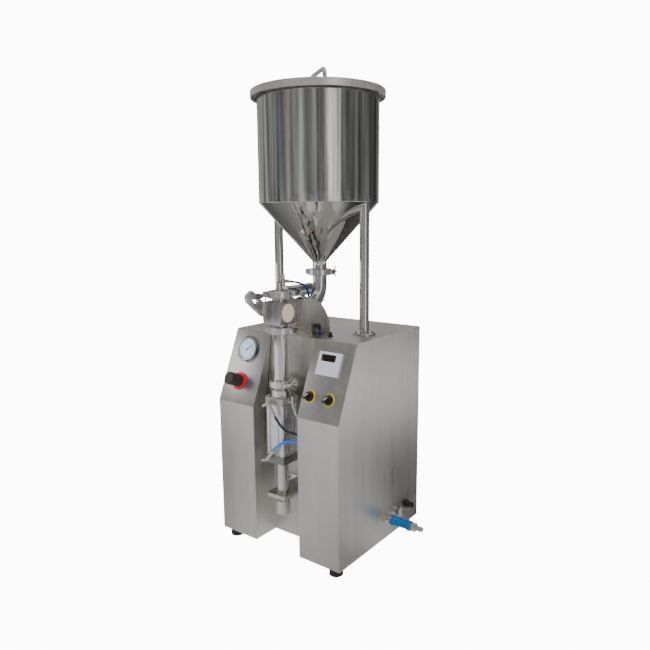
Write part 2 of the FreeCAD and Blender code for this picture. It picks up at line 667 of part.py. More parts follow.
def actuator():
    axis_z = valve_z + pin_height
    pin_y = valve_y - pin_height * math.tan(math.radians(valve_turn / 2))
    def at(y):
        return V(crank_x, y, axis_z)

    # rod, fork, drive pin with its outer boss and nut, and piston
    fork_half = crank_thick / 2 + fork_gap + fork_wall
    gap_half = crank_thick / 2 + fork_gap
    fork_back = pin_y + fork_depth + 5.5
    fork = box(crank_x - fork_half, crank_x + fork_half, pin_y - 8, fork_back,
               axis_z - fork_half_height, axis_z + fork_half_height)
    fork = fork.makeFillet(4.0, [e for e in fork.Edges if abs(e.CenterOfMass.y - (pin_y - 8)) < 0.01
                                 and abs(abs(e.CenterOfMass.z - axis_z) - fork_half_height) < 0.01])
    fork = fork.cut(box(crank_x - gap_half, crank_x + gap_half, pin_y - 9, pin_y + fork_depth,
                        axis_z - 20, axis_z + 20))
    barrel_front = actuator_front + front_cap
    piston_y = barrel_front + 0.5
    rod_solid = fused([fork, rod(actuator_rod_radius, at(fork_back - 1), at(piston_y + 2)),
                       rod(actuator_bore - run_clearance, at(piston_y), at(piston_y + piston_thick))])
    pin_line = V(crank_x, pin_y, axis_z)
    pin = rod(pin_radius, pin_line + RIGHT * (fork_half + 2), pin_line + LEFT * (fork_half + 10))
    hole = pin_radius + run_clearance
    rod_solid = rod_solid.cut(rod(hole, pin_line + RIGHT * 40, pin_line + LEFT * 40))
    head = turned([(pin_radius, 0), (6, 0), (6, 1.5), (5.5, 2), (pin_radius, 2)], pin_line + RIGHT * fork_half, RIGHT)
    boss = turned([(hole, 0), (10, 0), (10, 4), (9, 5), (hole, 5)], pin_line + LEFT * fork_half, LEFT)
    nut = hexagon(13.0, 5.0, pin_line + LEFT * (fork_half + 5), LEFT)
    nut = nut.cut(rod(hole, pin_line, pin_line + LEFT * 60))
    export("actuator_rod", [rod_solid, fused([pin, head]), boss, nut])

    # body: front cap with threaded nose and nut, barrel, rear cap
    barrel_back = barrel_front + actuator_stroke + piston_thick + 1
    front = fused([rod(actuator_radius, at(actuator_front), at(barrel_front)),
                   rod(nose_radius, at(actuator_front - nose_length), at(actuator_front + 1))])
    front = front.cut(rod(actuator_rod_radius + run_clearance, at(actuator_front - 20), at(barrel_front + 1)))
    nose_nut_face = at(actuator_front - neck_flange)
    nose_nut = hexagon(22.0, 4.5, nose_nut_face, FRONT)
    nose_nut = nose_nut.cut(rod(nose_radius + run_clearance, at(actuator_front), at(actuator_front - 20)))
    barrel = tube(actuator_radius - 1.0, actuator_bore, at(barrel_front), at(barrel_back))
    rear = turned([(0, 0), (actuator_radius, 0), (actuator_radius, rear_cap - 2),
                   (actuator_radius - 2, rear_cap), (0, rear_cap)], at(barrel_back), BACK)
    export("actuator_body", [front, nose_nut, barrel, rear])


def neck_bracket():
    start_y = valve_y + block_back
    base_y, base_z = start_y + 17, top_z + 2
    outer_arc = Part.makeCylinder(neck_outer, 2 * neck_half, V(-neck_half, base_y, base_z), RIGHT)
    keep = box(-neck_half, neck_half, base_y, base_y + 200, top_z, top_z + 200)
    block = box(-neck_half, neck_half, start_y, base_y, top_z, base_z + neck_outer)
    inner_centre = V(-neck_half, start_y - 1, top_z - 1)
    inner = Part.makeCylinder(neck_inner, 2 * neck_half, inner_centre, RIGHT)
    profile = fused([outer_arc.common(keep), block]).cut(inner)
    inside_x = neck_half - neck_sheet
    hollow = box(-inside_x, inside_x, start_y + neck_flange, base_y + 200, top_z - 1, top_z + 200)
    plates = profile.cut(hollow)
    web = Part.makeCylinder(neck_inner + neck_sheet, 2 * neck_half, inner_centre, RIGHT).cut(inner)
    web = web.common(box(-neck_half, neck_half, start_y, start_y + 100, top_z, top_z + 100))
    web_end = start_y - 1 + neck_inner
    foot = box(-neck_half, neck_half, web_end, web_end + 42, top_z, top_z + neck_sheet)
    solid = fused([plates, web, foot])
    solid = solid.cut(rod(ferrule_radius + 0.35, V(0, start_y - 1, valve_z), V(0, start_y + 6, valve_z)))

    # angle that holds the actuator's nose
    axis_z = valve_z + pin_height
    mount_y = actuator_front - neck_flange
    leg = box(-neck_half - neck_flange, -neck_half, mount_y, mount_y + 28, valve_z - 32, valve_z)
    plate = box(crank_x - 17, -neck_half, mount_y, actuator_front, valve_z - 32, axis_z + 19)
    plate = plate.makeFillet(8.0, [e for e in plate.Edges if abs(e.CenterOfMass.x - (crank_x - 17)) < 0.01
                                   and abs(e.CenterOfMass.y - (mount_y + actuator_front) / 2) < 0.01])
    angle = fused([leg, plate]).cut(rod(nose_radius + run_clearance, V(crank_x, mount_y - 1, axis_z),
                                    V(crank_x, mount_y + 9, axis_z)))
    export("neck_bracket", [solid, angle])


# ---------------------------------------------------------------- metering unit
def metering():
    gasket_half = gasket_thick / 2
    top_face = V(0, valve_y, upper_clamp_z - gasket_half)
    low_face = V(0, valve_y, lower_clamp_z + gasket_half)
    barrel = fused([tube(pipe_radius, meter_bore, low_face, top_face),
                    ferrule(top_face, DOWN, pipe_radius, meter_bore),
                    ferrule(low_face, UP, pipe_radius, meter_bore)])
    export("metering_tube", barrel)

    piston = turned([(0, -piston_length), (meter_bore - 1, -piston_length), (meter_bore - run_clearance, -piston_length + 1),
                     (meter_bore - run_clearance, -7), (meter_bore - 1.5, -7), (meter_bore - 1.5, -4),
                     (meter_bore - run_clearance, -4), (meter_bore - run_clearance, -1), (meter_bore - 1, 0), (0, 0)],
                    V(0, valve_y, piston_top), UP)
    thread_top = piston_top - 6
    piston = piston.cut(rod(rod_radius, V(0, valve_y, piston_top - piston_length - 1), V(0, valve_y, thread_top)))
    air_piston_top = head_top - head_height - 2
    rod_solid = fused([rod(rod_radius, V(0, valve_y, rod_end), V(0, valve_y, thread_top)),
                       rod(air_bore - run_clearance, V(0, valve_y, air_piston_top - air_piston),
                           V(0, valve_y, air_piston_top))])
    export("metering_piston", [piston, rod_solid])

    gland_face = V(0, valve_y, lower_clamp_z - gasket_half)
    gland_top = head_top + gland_height
    neck = ferrule(gland_face, DOWN, pipe_radius, rod_radius, gland_face.z - gland_top + 1)
    body = turned([(0, 0), (gland_radius, 0), (gland_radius, gland_height - 2),
                   (gland_radius - 2, gland_height), (0, gland_height)], V(0, valve_y, head_top), UP)
    gland = fused([neck, body]).cut(rod(rod_radius + run_clearance, V(0, valve_y, head_top - 5), V(0, valve_y, lower_clamp_z + 5)))
    export("rod_gland", gland)


def air_cylinder():
    half = cap_size / 2
    rod_hole = rod(rod_radius + run_clearance, V(0, valve_y, base_bottom - 5), V(0, valve_y, head_top + 5))
    caps = []
    for low, high in ((base_bottom, base_bottom + base_height), (head_top - head_height, head_top)):
        cap = box(-half, half, valve_y - half, valve_y + half, low, high)
        cap = cap.makeFillet(4.0, [e for e in cap.Edges if abs(e.CenterOfMass.z - (low + high) / 2) < 0.01])
        caps.append(cap.cut(rod_hole))
    export("cylinder_caps", caps)

    half = barrel_size / 2
    low, high = base_bottom + base_height, head_top - head_height
    barrel = box(-half, half, valve_y - half, valve_y + half, low, high)
    barrel = barrel.makeFillet(6.0, [e for e in barrel.Edges if abs(e.CenterOfMass.z - (low + high) / 2) < 0.01])
    middle = V(0, valve_y, 0)
    for quarter in range(4):
        for offset in (-14, 14):
            groove = box(half - 3, half + 1, offset - 2, offset + 2, low - 1, high + 1)
            groove.rotate(V(0, 0, 0), UP, 90 * quarter)
            groove.translate(middle)
            barrel = barrel.cut(groove)
    barrel = barrel.cut(rod(air_bore, V(0, valve_y, low), V(0, valve_y, high)))
    export("cylinder_barrel", barrel)


def stop_and_volume():
    low, high = V(0, valve_y, plate_top), V(0, valve_y, base_bottom)
    column = tube(stop_tube_radius, stop_tube_radius - stop_tube_wall, low, high)
    half = cap_size / 2
    plate = box(-half, half, valve_y - half, slot_y, plate_bottom, plate_top)
    plate = plate.makeFillet(5.0, [e for e in plate.Edges if abs(e.CenterOfMass.y - (valve_y - half)) < 0.01
                                   and abs(e.CenterOfMass.z - (plate_bottom + plate_top) / 2) < 0.01])
    tab = box(-half, half, slot_y - 3, slot_y, plate_bottom, plate_top + 28)
    holder = fused([column, plate, tab])
    holder = holder.cut(rod(screw_radius + run_clearance, V(0, valve_y, plate_bottom - 1), V(0, valve_y, plate_top + 1)))
    export("stop_tube", holder)

    screw_bottom = knob_top - knob_height + 6
    thread_end = 1.2
    screw = turned([(0, screw_bottom), (screw_radius, screw_bottom), (screw_radius, screw_top - thread_end),
                    (screw_radius - thread_end, screw_top), (0, screw_top)], V(0, valve_y, 0), UP)
    export("stop_screw", screw)
    knob = turned([(0, 0), (knob_radius - 2, 0), (knob_radius, 2), (knob_radius, knob_height - 2),
                   (knob_radius - 2, knob_height), (0, knob_height)], V(0, valve_y, knob_top - knob_height), UP)
    knob = knob.cut(rod(screw_radius + run_clearance, V(0, valve_y, screw_bottom - 0.3), V(0, valve_y, knob_top + 1)))
    export("volume_knob", knob)


# ---------------------------------------------------------------- instruments
def instruments():
    dial = gauge_dial_radius
    case = turned([(0, -28), (dial + 0.5, -28), (dial + 0.5, 0), (37.5, 0), (37.5, 2), (dial + 4, 2),
                   (dial + 4, 7.5), (dial + 2.5, 9), (dial, 9), (dial, 3), (0, 3)], on_slope(*gauge_at), slope_out)
    case = case.cut(rod(0.8, on_slope(*gauge_at, -10), on_slope(*gauge_at, 10)))
    export("gauge_case", case)
    # pointer, towards the upper right
    place = frame_at(on_slope(*gauge_at, 4.2), heading(RIGHT, slope_up, 40), slope_out)
    pointer = prism([V(-9, -1.6, 0), V(0, -1.4, 0), V(24, -0.5, 0), V(24, 0.5, 0), V(0, 1.4, 0), V(-9, 1.6, 0)],
                    V(0, 0, 0.8))
    hub = Part.makeCylinder(3.2, 1.6)
    pivot = Part.makeCylinder(0.75, 8, V(0, 0, -7))
    export("gauge_needle", put(fused([pointer, hub, pivot]), place))

    body = turned([(0, -60), (18, -60), (18, 0), (23.5, 0), (23.5, 4.5), (22, 6), (0, 6)],
                  on_slope(*regulator_at), slope_out)
    body = body.cut(rod(4.05, on_slope(*regulator_at, -12), on_slope(*regulator_at, 10)))
    export("regulator_body", body)
    knob = turned([(0, 6.4), (regulator_radius, 6.4), (regulator_radius, 26), (regulator_radius - 2, 28),
                   (regulator_radius - 2, 29.5), (regulator_radius, 31), (regulator_radius, 43.5),
                   (regulator_radius - 1.5, 45), (0, 45)], on_slope(*regulator_at), slope_out)
    spindle = rod(4.0, on_slope(*regulator_at, -11), on_slope(*regulator_at, 7))
    export("regulator_knob", fused([knob, spindle]))

    width, height = counter_size
    shell = Part.makeBox(width, height, 6.5, V(-width / 2, -height / 2, 0))
    shell = shell.makeFillet(2.0, [e for e in shell.Edges if e.CenterOfMass.z > 1])
    behind = Part.makeBox(width - 7, height - 7, 45, V(-(width - 7) / 2, -(height - 7) / 2, -44))
    window = Part.makeBox(*window_size, 3, V(-window_size[0] / 2 - 2.5, window_rise - window_size[1] / 2, 5.3))
    export("counter_case", put(fused([shell, behind]).cut(window), slope_frame(*counter_at)))

    bezels = []
    for index, spot in enumerate(selectors_at):
        bezel = turned([(0, -45), (11, -45), (11, 0), (selector_radius, 0), (selector_radius, 4),
                        (selector_radius - 1.5, 5.5), (12, 5.5), (12, 1), (0, 1)], on_slope(*spot), slope_out)
        bezels.append(bezel.cut(rod(4.05, on_slope(*spot, -12), on_slope(*spot, 9))))
        disc = turned([(0, 1.4), (11.6, 1.4), (11.6, 7.5), (10.6, 8.5), (0, 8.5)], V(0, 0, 0), UP)
        grip = Part.makeBox(22, 7, 12, V(-11, -3.5, 7))
        grip = grip.makeFillet(2.0, [e for e in grip.Edges if e.CenterOfMass.z > 12])
        spindle = Part.makeCylinder(4.0, 14, V(0, 0, -11))
        place = frame_at(on_slope(*spot), heading(RIGHT, slope_up, 45), slope_out)
        export(("selector_knob_left", "selector_knob_right")[index], put(fused([disc, grip, spindle]), place))
    export("selector_bezels", bezels)


def side_fittings():
    def at(spot, x):
        return V(side_x + x, spot[0], spot[1])
    inlet = turned([(0, -14), (7, -14), (7, 0), (11, 0), (11, 7), (8, 9), (8, 16), (12, 17), (12, 21), (10, 21),
                    (10, 87), (12, 87), (12, 92), (7, 94), (7, 107), (5.9, 107.6), (5.9, 109), (7, 109.6),
                    (7, 111), (6, 112), (0, 112)],
                   at(inlet_at, 0), RIGHT)
    inlet = inlet.cut(rod(4.0, at(inlet_at, 60), at(inlet_at, 120)))
    export("air_inlet", inlet)
    sleeve_start, sleeve_end = 24.0, 86.0 - sleeve_travel
    sleeve = turned([(10 + run_clearance, sleeve_start), (13.5, sleeve_start), (13.5, sleeve_start + 9),
                     (11.8, sleeve_start + 12), (11.8, sleeve_end - 12), (13.5, sleeve_end - 9),
                     (13.5, sleeve_end), (10 + run_clearance, sleeve_end)], at(inlet_at, 0), RIGHT)
    export("slide_sleeve", sleeve)
    silencer = turned([(0, -14), (8, -14), (8, 0), (13.5, 0), (13.5, 3), (12, 3), (12, 17), (13, 17), (13, 20),
                       (10, 21), (0, 21)], at(silencer_at, 0), RIGHT)
    port = turned([(0, -14), (8, -14), (8, 0), (11.5, 0), (11.5, 9), (8.5, 10), (8.5, 24), (7, 26), (0, 26)],
                  at(pedal_port_at, 0), RIGHT)
    port = port.cut(rod(3.1, at(pedal_port_at, 12), at(pedal_port_at, 40)))
    top_port = turned([(0, 0), (7, 0), (7, 2), (4.5, 3), (4.5, 9), (3, 11), (0, 11)], V(88, -72, top_z), UP)
    export("panel_fittings", [silencer, port, top_port])


# ---------------------------------------------------------------- air lines
def controller(points, radius, arm, face, out, needle=None):
    """Elbow fitting, with or without a needle screw: its arm meets the hose, its stem stands on `face`."""
    start = V(*points[0])
    along = (V(*points[1]) - start).normalize()
    knee = start - along * arm
    reach = (knee - face).dot(out)
    stem = turned([(0, 0), (5, 0), (5, 4), (4, 5), (4, reach), (0, reach)], knee - out * reach, out)
    ball = Part.makeSphere(5.6, knee)
    collar = turned([(0, 0), (radius + 2, 0), (radius + 2, arm - 3), (radius + 1.4, arm), (0, arm)], knee, along)
    solid = stem.fuse(ball).fuse(collar)
    if needle:
        profile = [(0, 0), (4.6, 0), (4.6, 5), (3.4, 6), (3.4, 13), (4.2, 14), (4.2, 17), (0, 17)]
        solid = solid.fuse(turned(profile, knee, needle))
    return solid


def speed_controllers():
    front = V(0, valve_y - cap_size / 2, 0)
    side = V(cap_size / 2, 0, 0)
    cap_middle = V(crank_x, actuator_front, valve_z + pin_height)
    pieces = [controller(black_hose, hose_radius, 38, front, FRONT, heading(LEFT, DOWN, 35)),
              controller(blue_hose, hose_radius, 36, front, FRONT, heading(LEFT, DOWN, 20)),
              controller(clear_hose, thin_hose_radius, 14, side, RIGHT, UP)]
    upper = controller(valve_hose, hose_radius, 14, cap_middle + UP * (actuator_radius - 3), UP, UP)
    pieces.append(upper.cut(rod(actuator_radius, cap_middle, cap_middle + BACK * front_cap)))
    pieces.append(controller(neck_hose, hose_radius, 10, V(neck_half, 0, 0), RIGHT))
    export("speed_controllers", pieces)


def hoses():
    hose("hose_black", black_hose, hose_radius)
    hose("hose_blue", blue_hose, hose_radius)
    hose("hose_clear", clear_hose, thin_hose_radius)
    hose("hose_valve", valve_hose, hose_radius)
    hose("hose_neck", neck_hose, hose_radius)

    grommets = []
    walls = [(black_hose, hose_radius, V(slot_x, 0, 0), LEFT), (blue_hose, hose_radius, V(slot_x, 0, 0), LEFT),
             (clear_hose, thin_hose_radius, V(slot_x, 0, 0), LEFT),
             (valve_hose, hose_radius, V(0, 0, top_z), UP), (neck_hose, hose_radius, V(0, 0, top_z), UP)]
    for points, radius, face, out in walls:
        x, y, z = points[-1]
        spot = V(face.x or x, y, face.z or z)
        bore = radius + grommet_play
        grommets.append(turned([(bore, -sheet), (radius + 2.4, -sheet), (radius + 2.4, 0), (radius + 4.0, 0),
                                (radius + 3.6, 1.4), (bore, 1.4)], spot, out))
    export("hose_grommets", grommets)


def valve_manifold():
    """Air valves on their manifold, inside the cabinet on the base pan."""
    base_z = floor_z + sheet
    manifold = box(60, 160, 40, 90, base_z, base_z + 22)
    valves = [box(x, x + 22, 44, 86, base_z + 22, base_z + 52) for x in (64, 99, 134)]
    export("valve_manifold", [manifold] + valves)


cabinet()
feet()
fasteners()
clamped_joints()
hopper()
inlet_elbow()
valve()
crank()
actuator()
neck_bracket()
metering()
air_cylinder()
stop_and_volume()
instruments()
side_fittings()
speed_controllers()
hoses()
valve_manifold()
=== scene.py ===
import math
import bmesh
import bpy
from mathutils import Matrix, Vector


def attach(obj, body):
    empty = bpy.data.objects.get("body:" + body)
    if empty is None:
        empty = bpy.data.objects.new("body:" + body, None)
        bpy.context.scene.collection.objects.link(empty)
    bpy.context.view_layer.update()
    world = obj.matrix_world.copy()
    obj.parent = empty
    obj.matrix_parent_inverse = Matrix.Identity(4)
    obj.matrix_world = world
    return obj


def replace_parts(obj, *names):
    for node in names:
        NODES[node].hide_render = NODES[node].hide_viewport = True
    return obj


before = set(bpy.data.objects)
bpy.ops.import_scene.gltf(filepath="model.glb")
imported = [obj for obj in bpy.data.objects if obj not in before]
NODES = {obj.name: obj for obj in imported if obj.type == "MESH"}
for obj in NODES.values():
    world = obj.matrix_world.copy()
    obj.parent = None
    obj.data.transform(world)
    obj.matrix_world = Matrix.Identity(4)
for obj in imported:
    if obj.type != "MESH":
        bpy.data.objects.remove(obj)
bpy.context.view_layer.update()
MM = 0.001
ROOT = "machine_frame"

# ---------------------------------------------------------------- shared sizes, metres
FLOOR_Z, TOP_Z = 0.022, 0.578
SIDE_X, FRONT_Y, BACK_Y = 0.200, -0.1925, 0.1925
SLOT_X, SLOT_Y, SLOPE_Z = 0.0735, -0.1145, 0.394
SLOPE_LENGTH = math.hypot(SLOT_Y - FRONT_Y, TOP_Z - SLOPE_Z)
SLOPE_UP = Vector((0, (SLOT_Y - FRONT_Y) / SLOPE_LENGTH, (TOP_Z - SLOPE_Z) / SLOPE_LENGTH))
SLOPE_OUT = Vector((0, -SLOPE_UP.z, SLOPE_UP.y))
AXIS_Y = -0.1645
VALVE_Z = 0.644
X, Y, Z = Vector((1, 0, 0)), Vector((0, 1, 0)), Vector((0, 0, 1))


def on_slope(x, rise, out=0.0):
    return Vector((x, FRONT_Y, SLOPE_Z)) + SLOPE_UP * rise + SLOPE_OUT * out


def frame_at(origin, x_axis, z_axis):
    """Place with its origin and two of its axes given."""
    y_axis = z_axis.cross(x_axis)
    matrix = Matrix((x_axis, y_axis, z_axis)).transposed().to_4x4()
    matrix.translation = origin
    return matrix


def mm(points):
    """Millimetre pairs in metres."""
    return [(a * MM, b * MM) for a, b in points]


def arc(radius, start, stop, steps):
    """Points (x, y) on a circle, angles in degrees."""
    angles = (math.radians(start + (stop - start) * i / steps) for i in range(steps + 1))
    return [(radius * math.cos(a), radius * math.sin(a)) for a in angles]


# ---------------------------------------------------------------- mesh helpers
def shade(mesh, degrees=32):
    mesh.polygons.foreach_set("use_smooth", [True] * len(mesh.polygons))
    mesh.set_sharp_from_angle(angle=math.radians(degrees))
    mesh.update()


def add(name, bm, body, material, degrees=32):
    """Makes a piece of a bmesh, riding on a body."""
    mesh = bpy.data.meshes.new(name)
    bmesh.ops.recalc_face_normals(bm, faces=bm.faces)
    bm.to_mesh(mesh)
    bm.free()
    shade(mesh, degrees)
    return link(name, mesh, body, material)


def link(name, mesh, body, material):
    piece = bpy.data.objects.new(name, mesh)
    bpy.context.scene.collection.objects.link(piece)
    mesh.materials.clear()
    mesh.materials.append(material)
    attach(piece, body)
    return piece


def lathe(bm, profile, place=Matrix(), segments=128, ribs=None):
    """Revolves a closed outline of (radius, height) about z; ribs=(count, depth, rows) flutes those rows."""
    rings = []
    for row, (radius, height) in enumerate(profile):
        if radius < 1e-7:
            rings.append([bm.verts.new(place @ Vector((0, 0, height)))])
            continue
        ring = []
        for i in range(segments):
            angle = 2 * math.pi * i / segments
            r = radius
            if ribs and row in ribs[2]:
                r -= ribs[1] * (0.5 + 0.5 * math.cos(ribs[0] * angle)) ** 2
            ring.append(bm.verts.new(place @ Vector((r * math.cos(angle), r * math.sin(angle), height))))
        rings.append(ring)
    for a, b in zip(rings, rings[1:] + rings[:1]):
        if len(a) == 1 and len(b) == 1:
            continue
        for i in range(segments):
            j = (i + 1) % segments
            corners = [a[i % len(a)], a[j % len(a)], b[j % len(b)], b[i % len(b)]]
            unique = []
            for v in corners:
                if v not in unique:
                    unique.append(v)
            bm.faces.new(unique)


def sweep(bm, points, radii, segments=48):
    """Round bar along points, closed at both ends."""
    tangents = []
    for i in range(len(points)):
        a, b = points[max(i - 1, 0)], points[min(i + 1, len(points) - 1)]
        tangents.append((b - a).normalized())
    across = tangents[0].orthogonal().normalized()
    rings = []
    for point, tangent, radius in zip(points, tangents, radii):
        across = (across - tangent * across.dot(tangent)).normalized()
        other = tangent.cross(across)
        rings.append([bm.verts.new(point + (across * math.cos(t) + other * math.sin(t)) * radius)
                      for t in (2 * math.pi * i / segments for i in range(segments))])
    for a, b in zip(rings, rings[1:]):
        for i in range(segments):
            j = (i + 1) % segments
            bm.faces.new((a[i], a[j], b[j], b[i]))
    bm.faces.new(rings[0])
    bm.faces.new(rings[-1])


def round_edges(part, offset, segments):
    bmesh.ops.bevel(part, geom=part.edges[:], offset=offset, segments=segments, affect="EDGES", profile=0.5)


def slab(bm, size, place, bevel=0.0, segments=3):
    """Box centred on x and y, standing on z=0 of `place`, with rounded edges."""
    part = bmesh.new()
    bmesh.ops.create_cube(part, size=1)
    bmesh.ops.scale(part, vec=size, verts=part.verts)
    bmesh.ops.translate(part, vec=(0, 0, size[2] / 2), verts=part.verts)
    if bevel:
        round_edges(part, bevel, segments)
    merge(bm, part, place)


def merge(bm, part, place=Matrix()):
    part.transform(place)
    mesh = bpy.data.meshes.new("part")
    part.to_mesh(mesh)
    part.free()
    bm.from_mesh(mesh)
    bpy.data.meshes.remove(mesh)


def plate(bm, outline, thickness, place, bevel=0.0, segments=3):
    """Polygon of (x, y) points extruded along z, centred on z=0 of `place`."""
    part = bmesh.new()
    face = part.faces.new([part.verts.new((x, y, -thickness / 2)) for x, y in outline])
    top = bmesh.ops.extrude_face_region(part, geom=[face])
    raised = [v for v in top["geom"] if isinstance(v, bmesh.types.BMVert)]
    bmesh.ops.translate(part, vec=(0, 0, thickness), verts=raised)
    if bevel:
        round_edges(part, bevel, segments)
    merge(bm, part, place)


def boolean(target, cutter):
    """Cuts one bmesh by another and returns the result."""
    objects = []
    for bm in (target, cutter):
        bmesh.ops.recalc_face_normals(bm, faces=bm.faces)
        mesh = bpy.data.meshes.new("cut")
        bm.to_mesh(mesh)
        bm.free()
        obj = bpy.data.objects.new("cut", mesh)
        bpy.context.scene.collection.objects.link(obj)
        objects.append(obj)
    modifier = objects[0].modifiers.new("cut", "BOOLEAN")
    modifier.object, modifier.solver, modifier.operation = objects[1], "EXACT", "DIFFERENCE"
    bpy.context.view_layer.update()
    result = bmesh.new()
    graph = bpy.context.evaluated_depsgraph_get()
    result.from_mesh(objects[0].evaluated_get(graph).to_mesh())
    for obj in objects:
        mesh = obj.data
        bpy.data.objects.remove(obj)
        bpy.data.meshes.remove(mesh)
    return result


# ---------------------------------------------------------------- materials
def tree_of(name):
    material = bpy.data.materials.new(name)
    material.use_nodes = True
    tree = material.node_tree
    return material, tree, tree.nodes["Principled BSDF"]


def node(tree, kind, inputs=None, **settings):
    made = tree.nodes.new(kind)
    for key, value in settings.items():
        setattr(made, key, value)
    for key, value in (inputs or {}).items():
        if isinstance(value, bpy.types.NodeSocket):
            tree.links.new(value, made.inputs[key])
        else:
            made.inputs[key].default_value = value
    return made


def calc(tree, operation, *values):
    """Result of a maths node."""
    return node(tree, "ShaderNodeMath", dict(enumerate(values)), operation=operation).outputs[0]


def coords(tree, scale):
    """The object's own coordinates, scaled."""
    where = node(tree, "ShaderNodeTexCoord").outputs["Object"]
    return node(tree, "ShaderNodeMapping", {"Vector": where, "Scale": scale}).outputs["Vector"]


def noise(tree, vector, detail=3.0, rough=0.5):
    return node(tree, "ShaderNodeTexNoise", {"Vector": vector, "Scale": 1.0, "Detail": detail,
                                             "Roughness": rough}).outputs["Fac"]


def spread(tree, value, low, high, start=0.3, end=0.7):
    """Maps start..end, the range where one noise falls, to low..high."""
    return node(tree, "ShaderNodeMapRange", {"Value": value, "From Min": start, "From Max": end,
                                             "To Min": low, "To Max": high}).outputs["Result"]


def tinted(tree, factor, color, amount, tint=(1, 1, 1)):
    """Colour that varies by `amount` about `color`."""
    dark = [c * (1 - amount) for c in color] + [1]
    light = [min(c * (1 + amount) * t, 1) for c, t in zip(color, tint)] + [1]
    mix = node(tree, "ShaderNodeMix", {0: factor, 6: dark, 7: light}, data_type="RGBA")
    return mix.outputs[2]


def drive(tree, shader, socket, value):
    tree.links.new(value, shader.inputs[socket])


def bump(tree, shader, height, strength, distance):
    made = node(tree, "ShaderNodeBump", {"Strength": strength, "Distance": distance, "Height": height})
    drive(tree, shader, "Normal", made.outputs["Normal"])


# grain scales by grinding direction, and the range in which two summed noises fall
SUM_RANGE = (0.7, 1.3)
BRUSH = {"x": (4, 700, 700), "y": (700, 4, 700), "z": (700, 700, 4), "": (160, 160, 160)}


def steel(name, color, rough, brush="z", streak=0.05, depth=0.05, smudge=0.05):
    """Steel with grinding lines along one axis, faint blotches and cloudy wiping marks."""
    material, tree, shader = tree_of(name)
    fine = noise(tree, coords(tree, BRUSH[brush]), detail=2)
    broad = noise(tree, coords(tree, [v / 12 + 1 for v in BRUSH[brush]]), detail=4)
    cloud = noise(tree, coords(tree, (7, 7, 5)), detail=5, rough=0.6)
    both = calc(tree, "ADD", fine, broad)
    shine = spread(tree, both, rough - 0.04, rough + 0.04, *SUM_RANGE)
    drive(tree, shader, "Base Color", tinted(tree, spread(tree, both, 0, 1, *SUM_RANGE), color, streak))
    drive(tree, shader, "Roughness", calc(tree, "ADD", shine, spread(tree, cloud, -smudge, smudge)))
    bump(tree, shader, both, depth, 0.0004)
    shader.inputs["Metallic"].default_value = 1.0
    return material


def cabinet_steel(name, color, rough):
    """Brushed sheet: vertical grain on upright faces, grain along x on the top."""
    material, tree, shader = tree_of(name)
    where = node(tree, "ShaderNodeTexCoord")
    up = node(tree, "ShaderNodeSeparateXYZ", {0: where.outputs["Normal"]}).outputs["Z"]
    flat = calc(tree, "GREATER_THAN", up, 0.8)
    layers = []
    for upright, level, detail in (((420, 420, 3), (3, 420, 420), 2), ((46, 46, 1.2), (1.2, 46, 46), 5)):
        pair = [noise(tree, coords(tree, scale), detail=detail) for scale in (upright, level)]
        layers.append(node(tree, "ShaderNodeMix", {0: flat, 2: pair[0], 3: pair[1]}).outputs[0])
    cloud = noise(tree, coords(tree, (3.5, 3.5, 2.2)), detail=4, rough=0.55)
    both = calc(tree, "ADD", *layers)
    shine = spread(tree, both, rough - 0.05, rough + 0.05, *SUM_RANGE)
    shades = tinted(tree, spread(tree, both, 0, 1, *SUM_RANGE), color, 0.07, (1, 0.995, 0.98))
    drive(tree, shader, "Base Color", shades)
    drive(tree, shader, "Roughness", calc(tree, "ADD", shine, spread(tree, cloud, -0.06, 0.06)))
    bump(tree, shader, both, 0.09, 0.0005)
    shader.inputs["Metallic"].default_value = 1.0
    return material


def mirror(name, color, rough, wave=0.25, roll=(9, 9, 1.6)):
    """Polished steel: rolled-sheet waviness, faint vertical polish and wiping haze."""
    material, tree, shader = tree_of(name)
    sway = noise(tree, coords(tree, roll), detail=2, rough=0.4)
    polish = noise(tree, coords(tree, (260, 260, 14)), detail=3)
    haze = noise(tree, coords(tree, (11, 11, 6)), detail=6, rough=0.65)
    shine = spread(tree, haze, rough * 0.6, rough * 1.5)
    drive(tree, shader, "Base Color", tinted(tree, polish, color, 0.03))
    drive(tree, shader, "Roughness", calc(tree, "ADD", shine, spread(tree, polish, -0.01, 0.015)))
    bump(tree, shader, calc(tree, "ADD", sway, spread(tree, polish, 0, 0.02)), wave, 0.004)
    shader.inputs["Metallic"].default_value = 1.0
    return material


def plastic(name, color, rough=0.4, grain=0.06, scale=900, metallic=0.0, vary=0.08):
    material, tree, shader = tree_of(name)
    fine = noise(tree, coords(tree, (scale,) * 3), detail=3)
    cloud = noise(tree, coords(tree, (45, 45, 45)), detail=4, rough=0.6)
    shine = spread(tree, cloud, rough - 0.06, rough + 0.08)
    drive(tree, shader, "Base Color", tinted(tree, cloud, color, vary))
    drive(tree, shader, "Roughness", calc(tree, "ADD", shine, spread(tree, fine, -0.03, 0.03)))
    bump(tree, shader, fine, grain, 0.0003)
    shader.inputs["Metallic"].default_value = metallic
    return material


def clear(name, color, rough=0.04, transmission=1.0, ior=1.46):
    material, tree, shader = tree_of(name)
    haze = noise(tree, coords(tree, (120, 120, 120)), detail=4)
    drive(tree, shader, "Roughness", spread(tree, haze, rough, rough + 0.05))
    drive(tree, shader, "Base Color", tinted(tree, haze, color, 0.02))
    shader.inputs["Transmission Weight"].default_value = transmission
    shader.inputs["IOR"].default_value = ior
    return material


RING_PITCH = 9000.0         # radians per metre


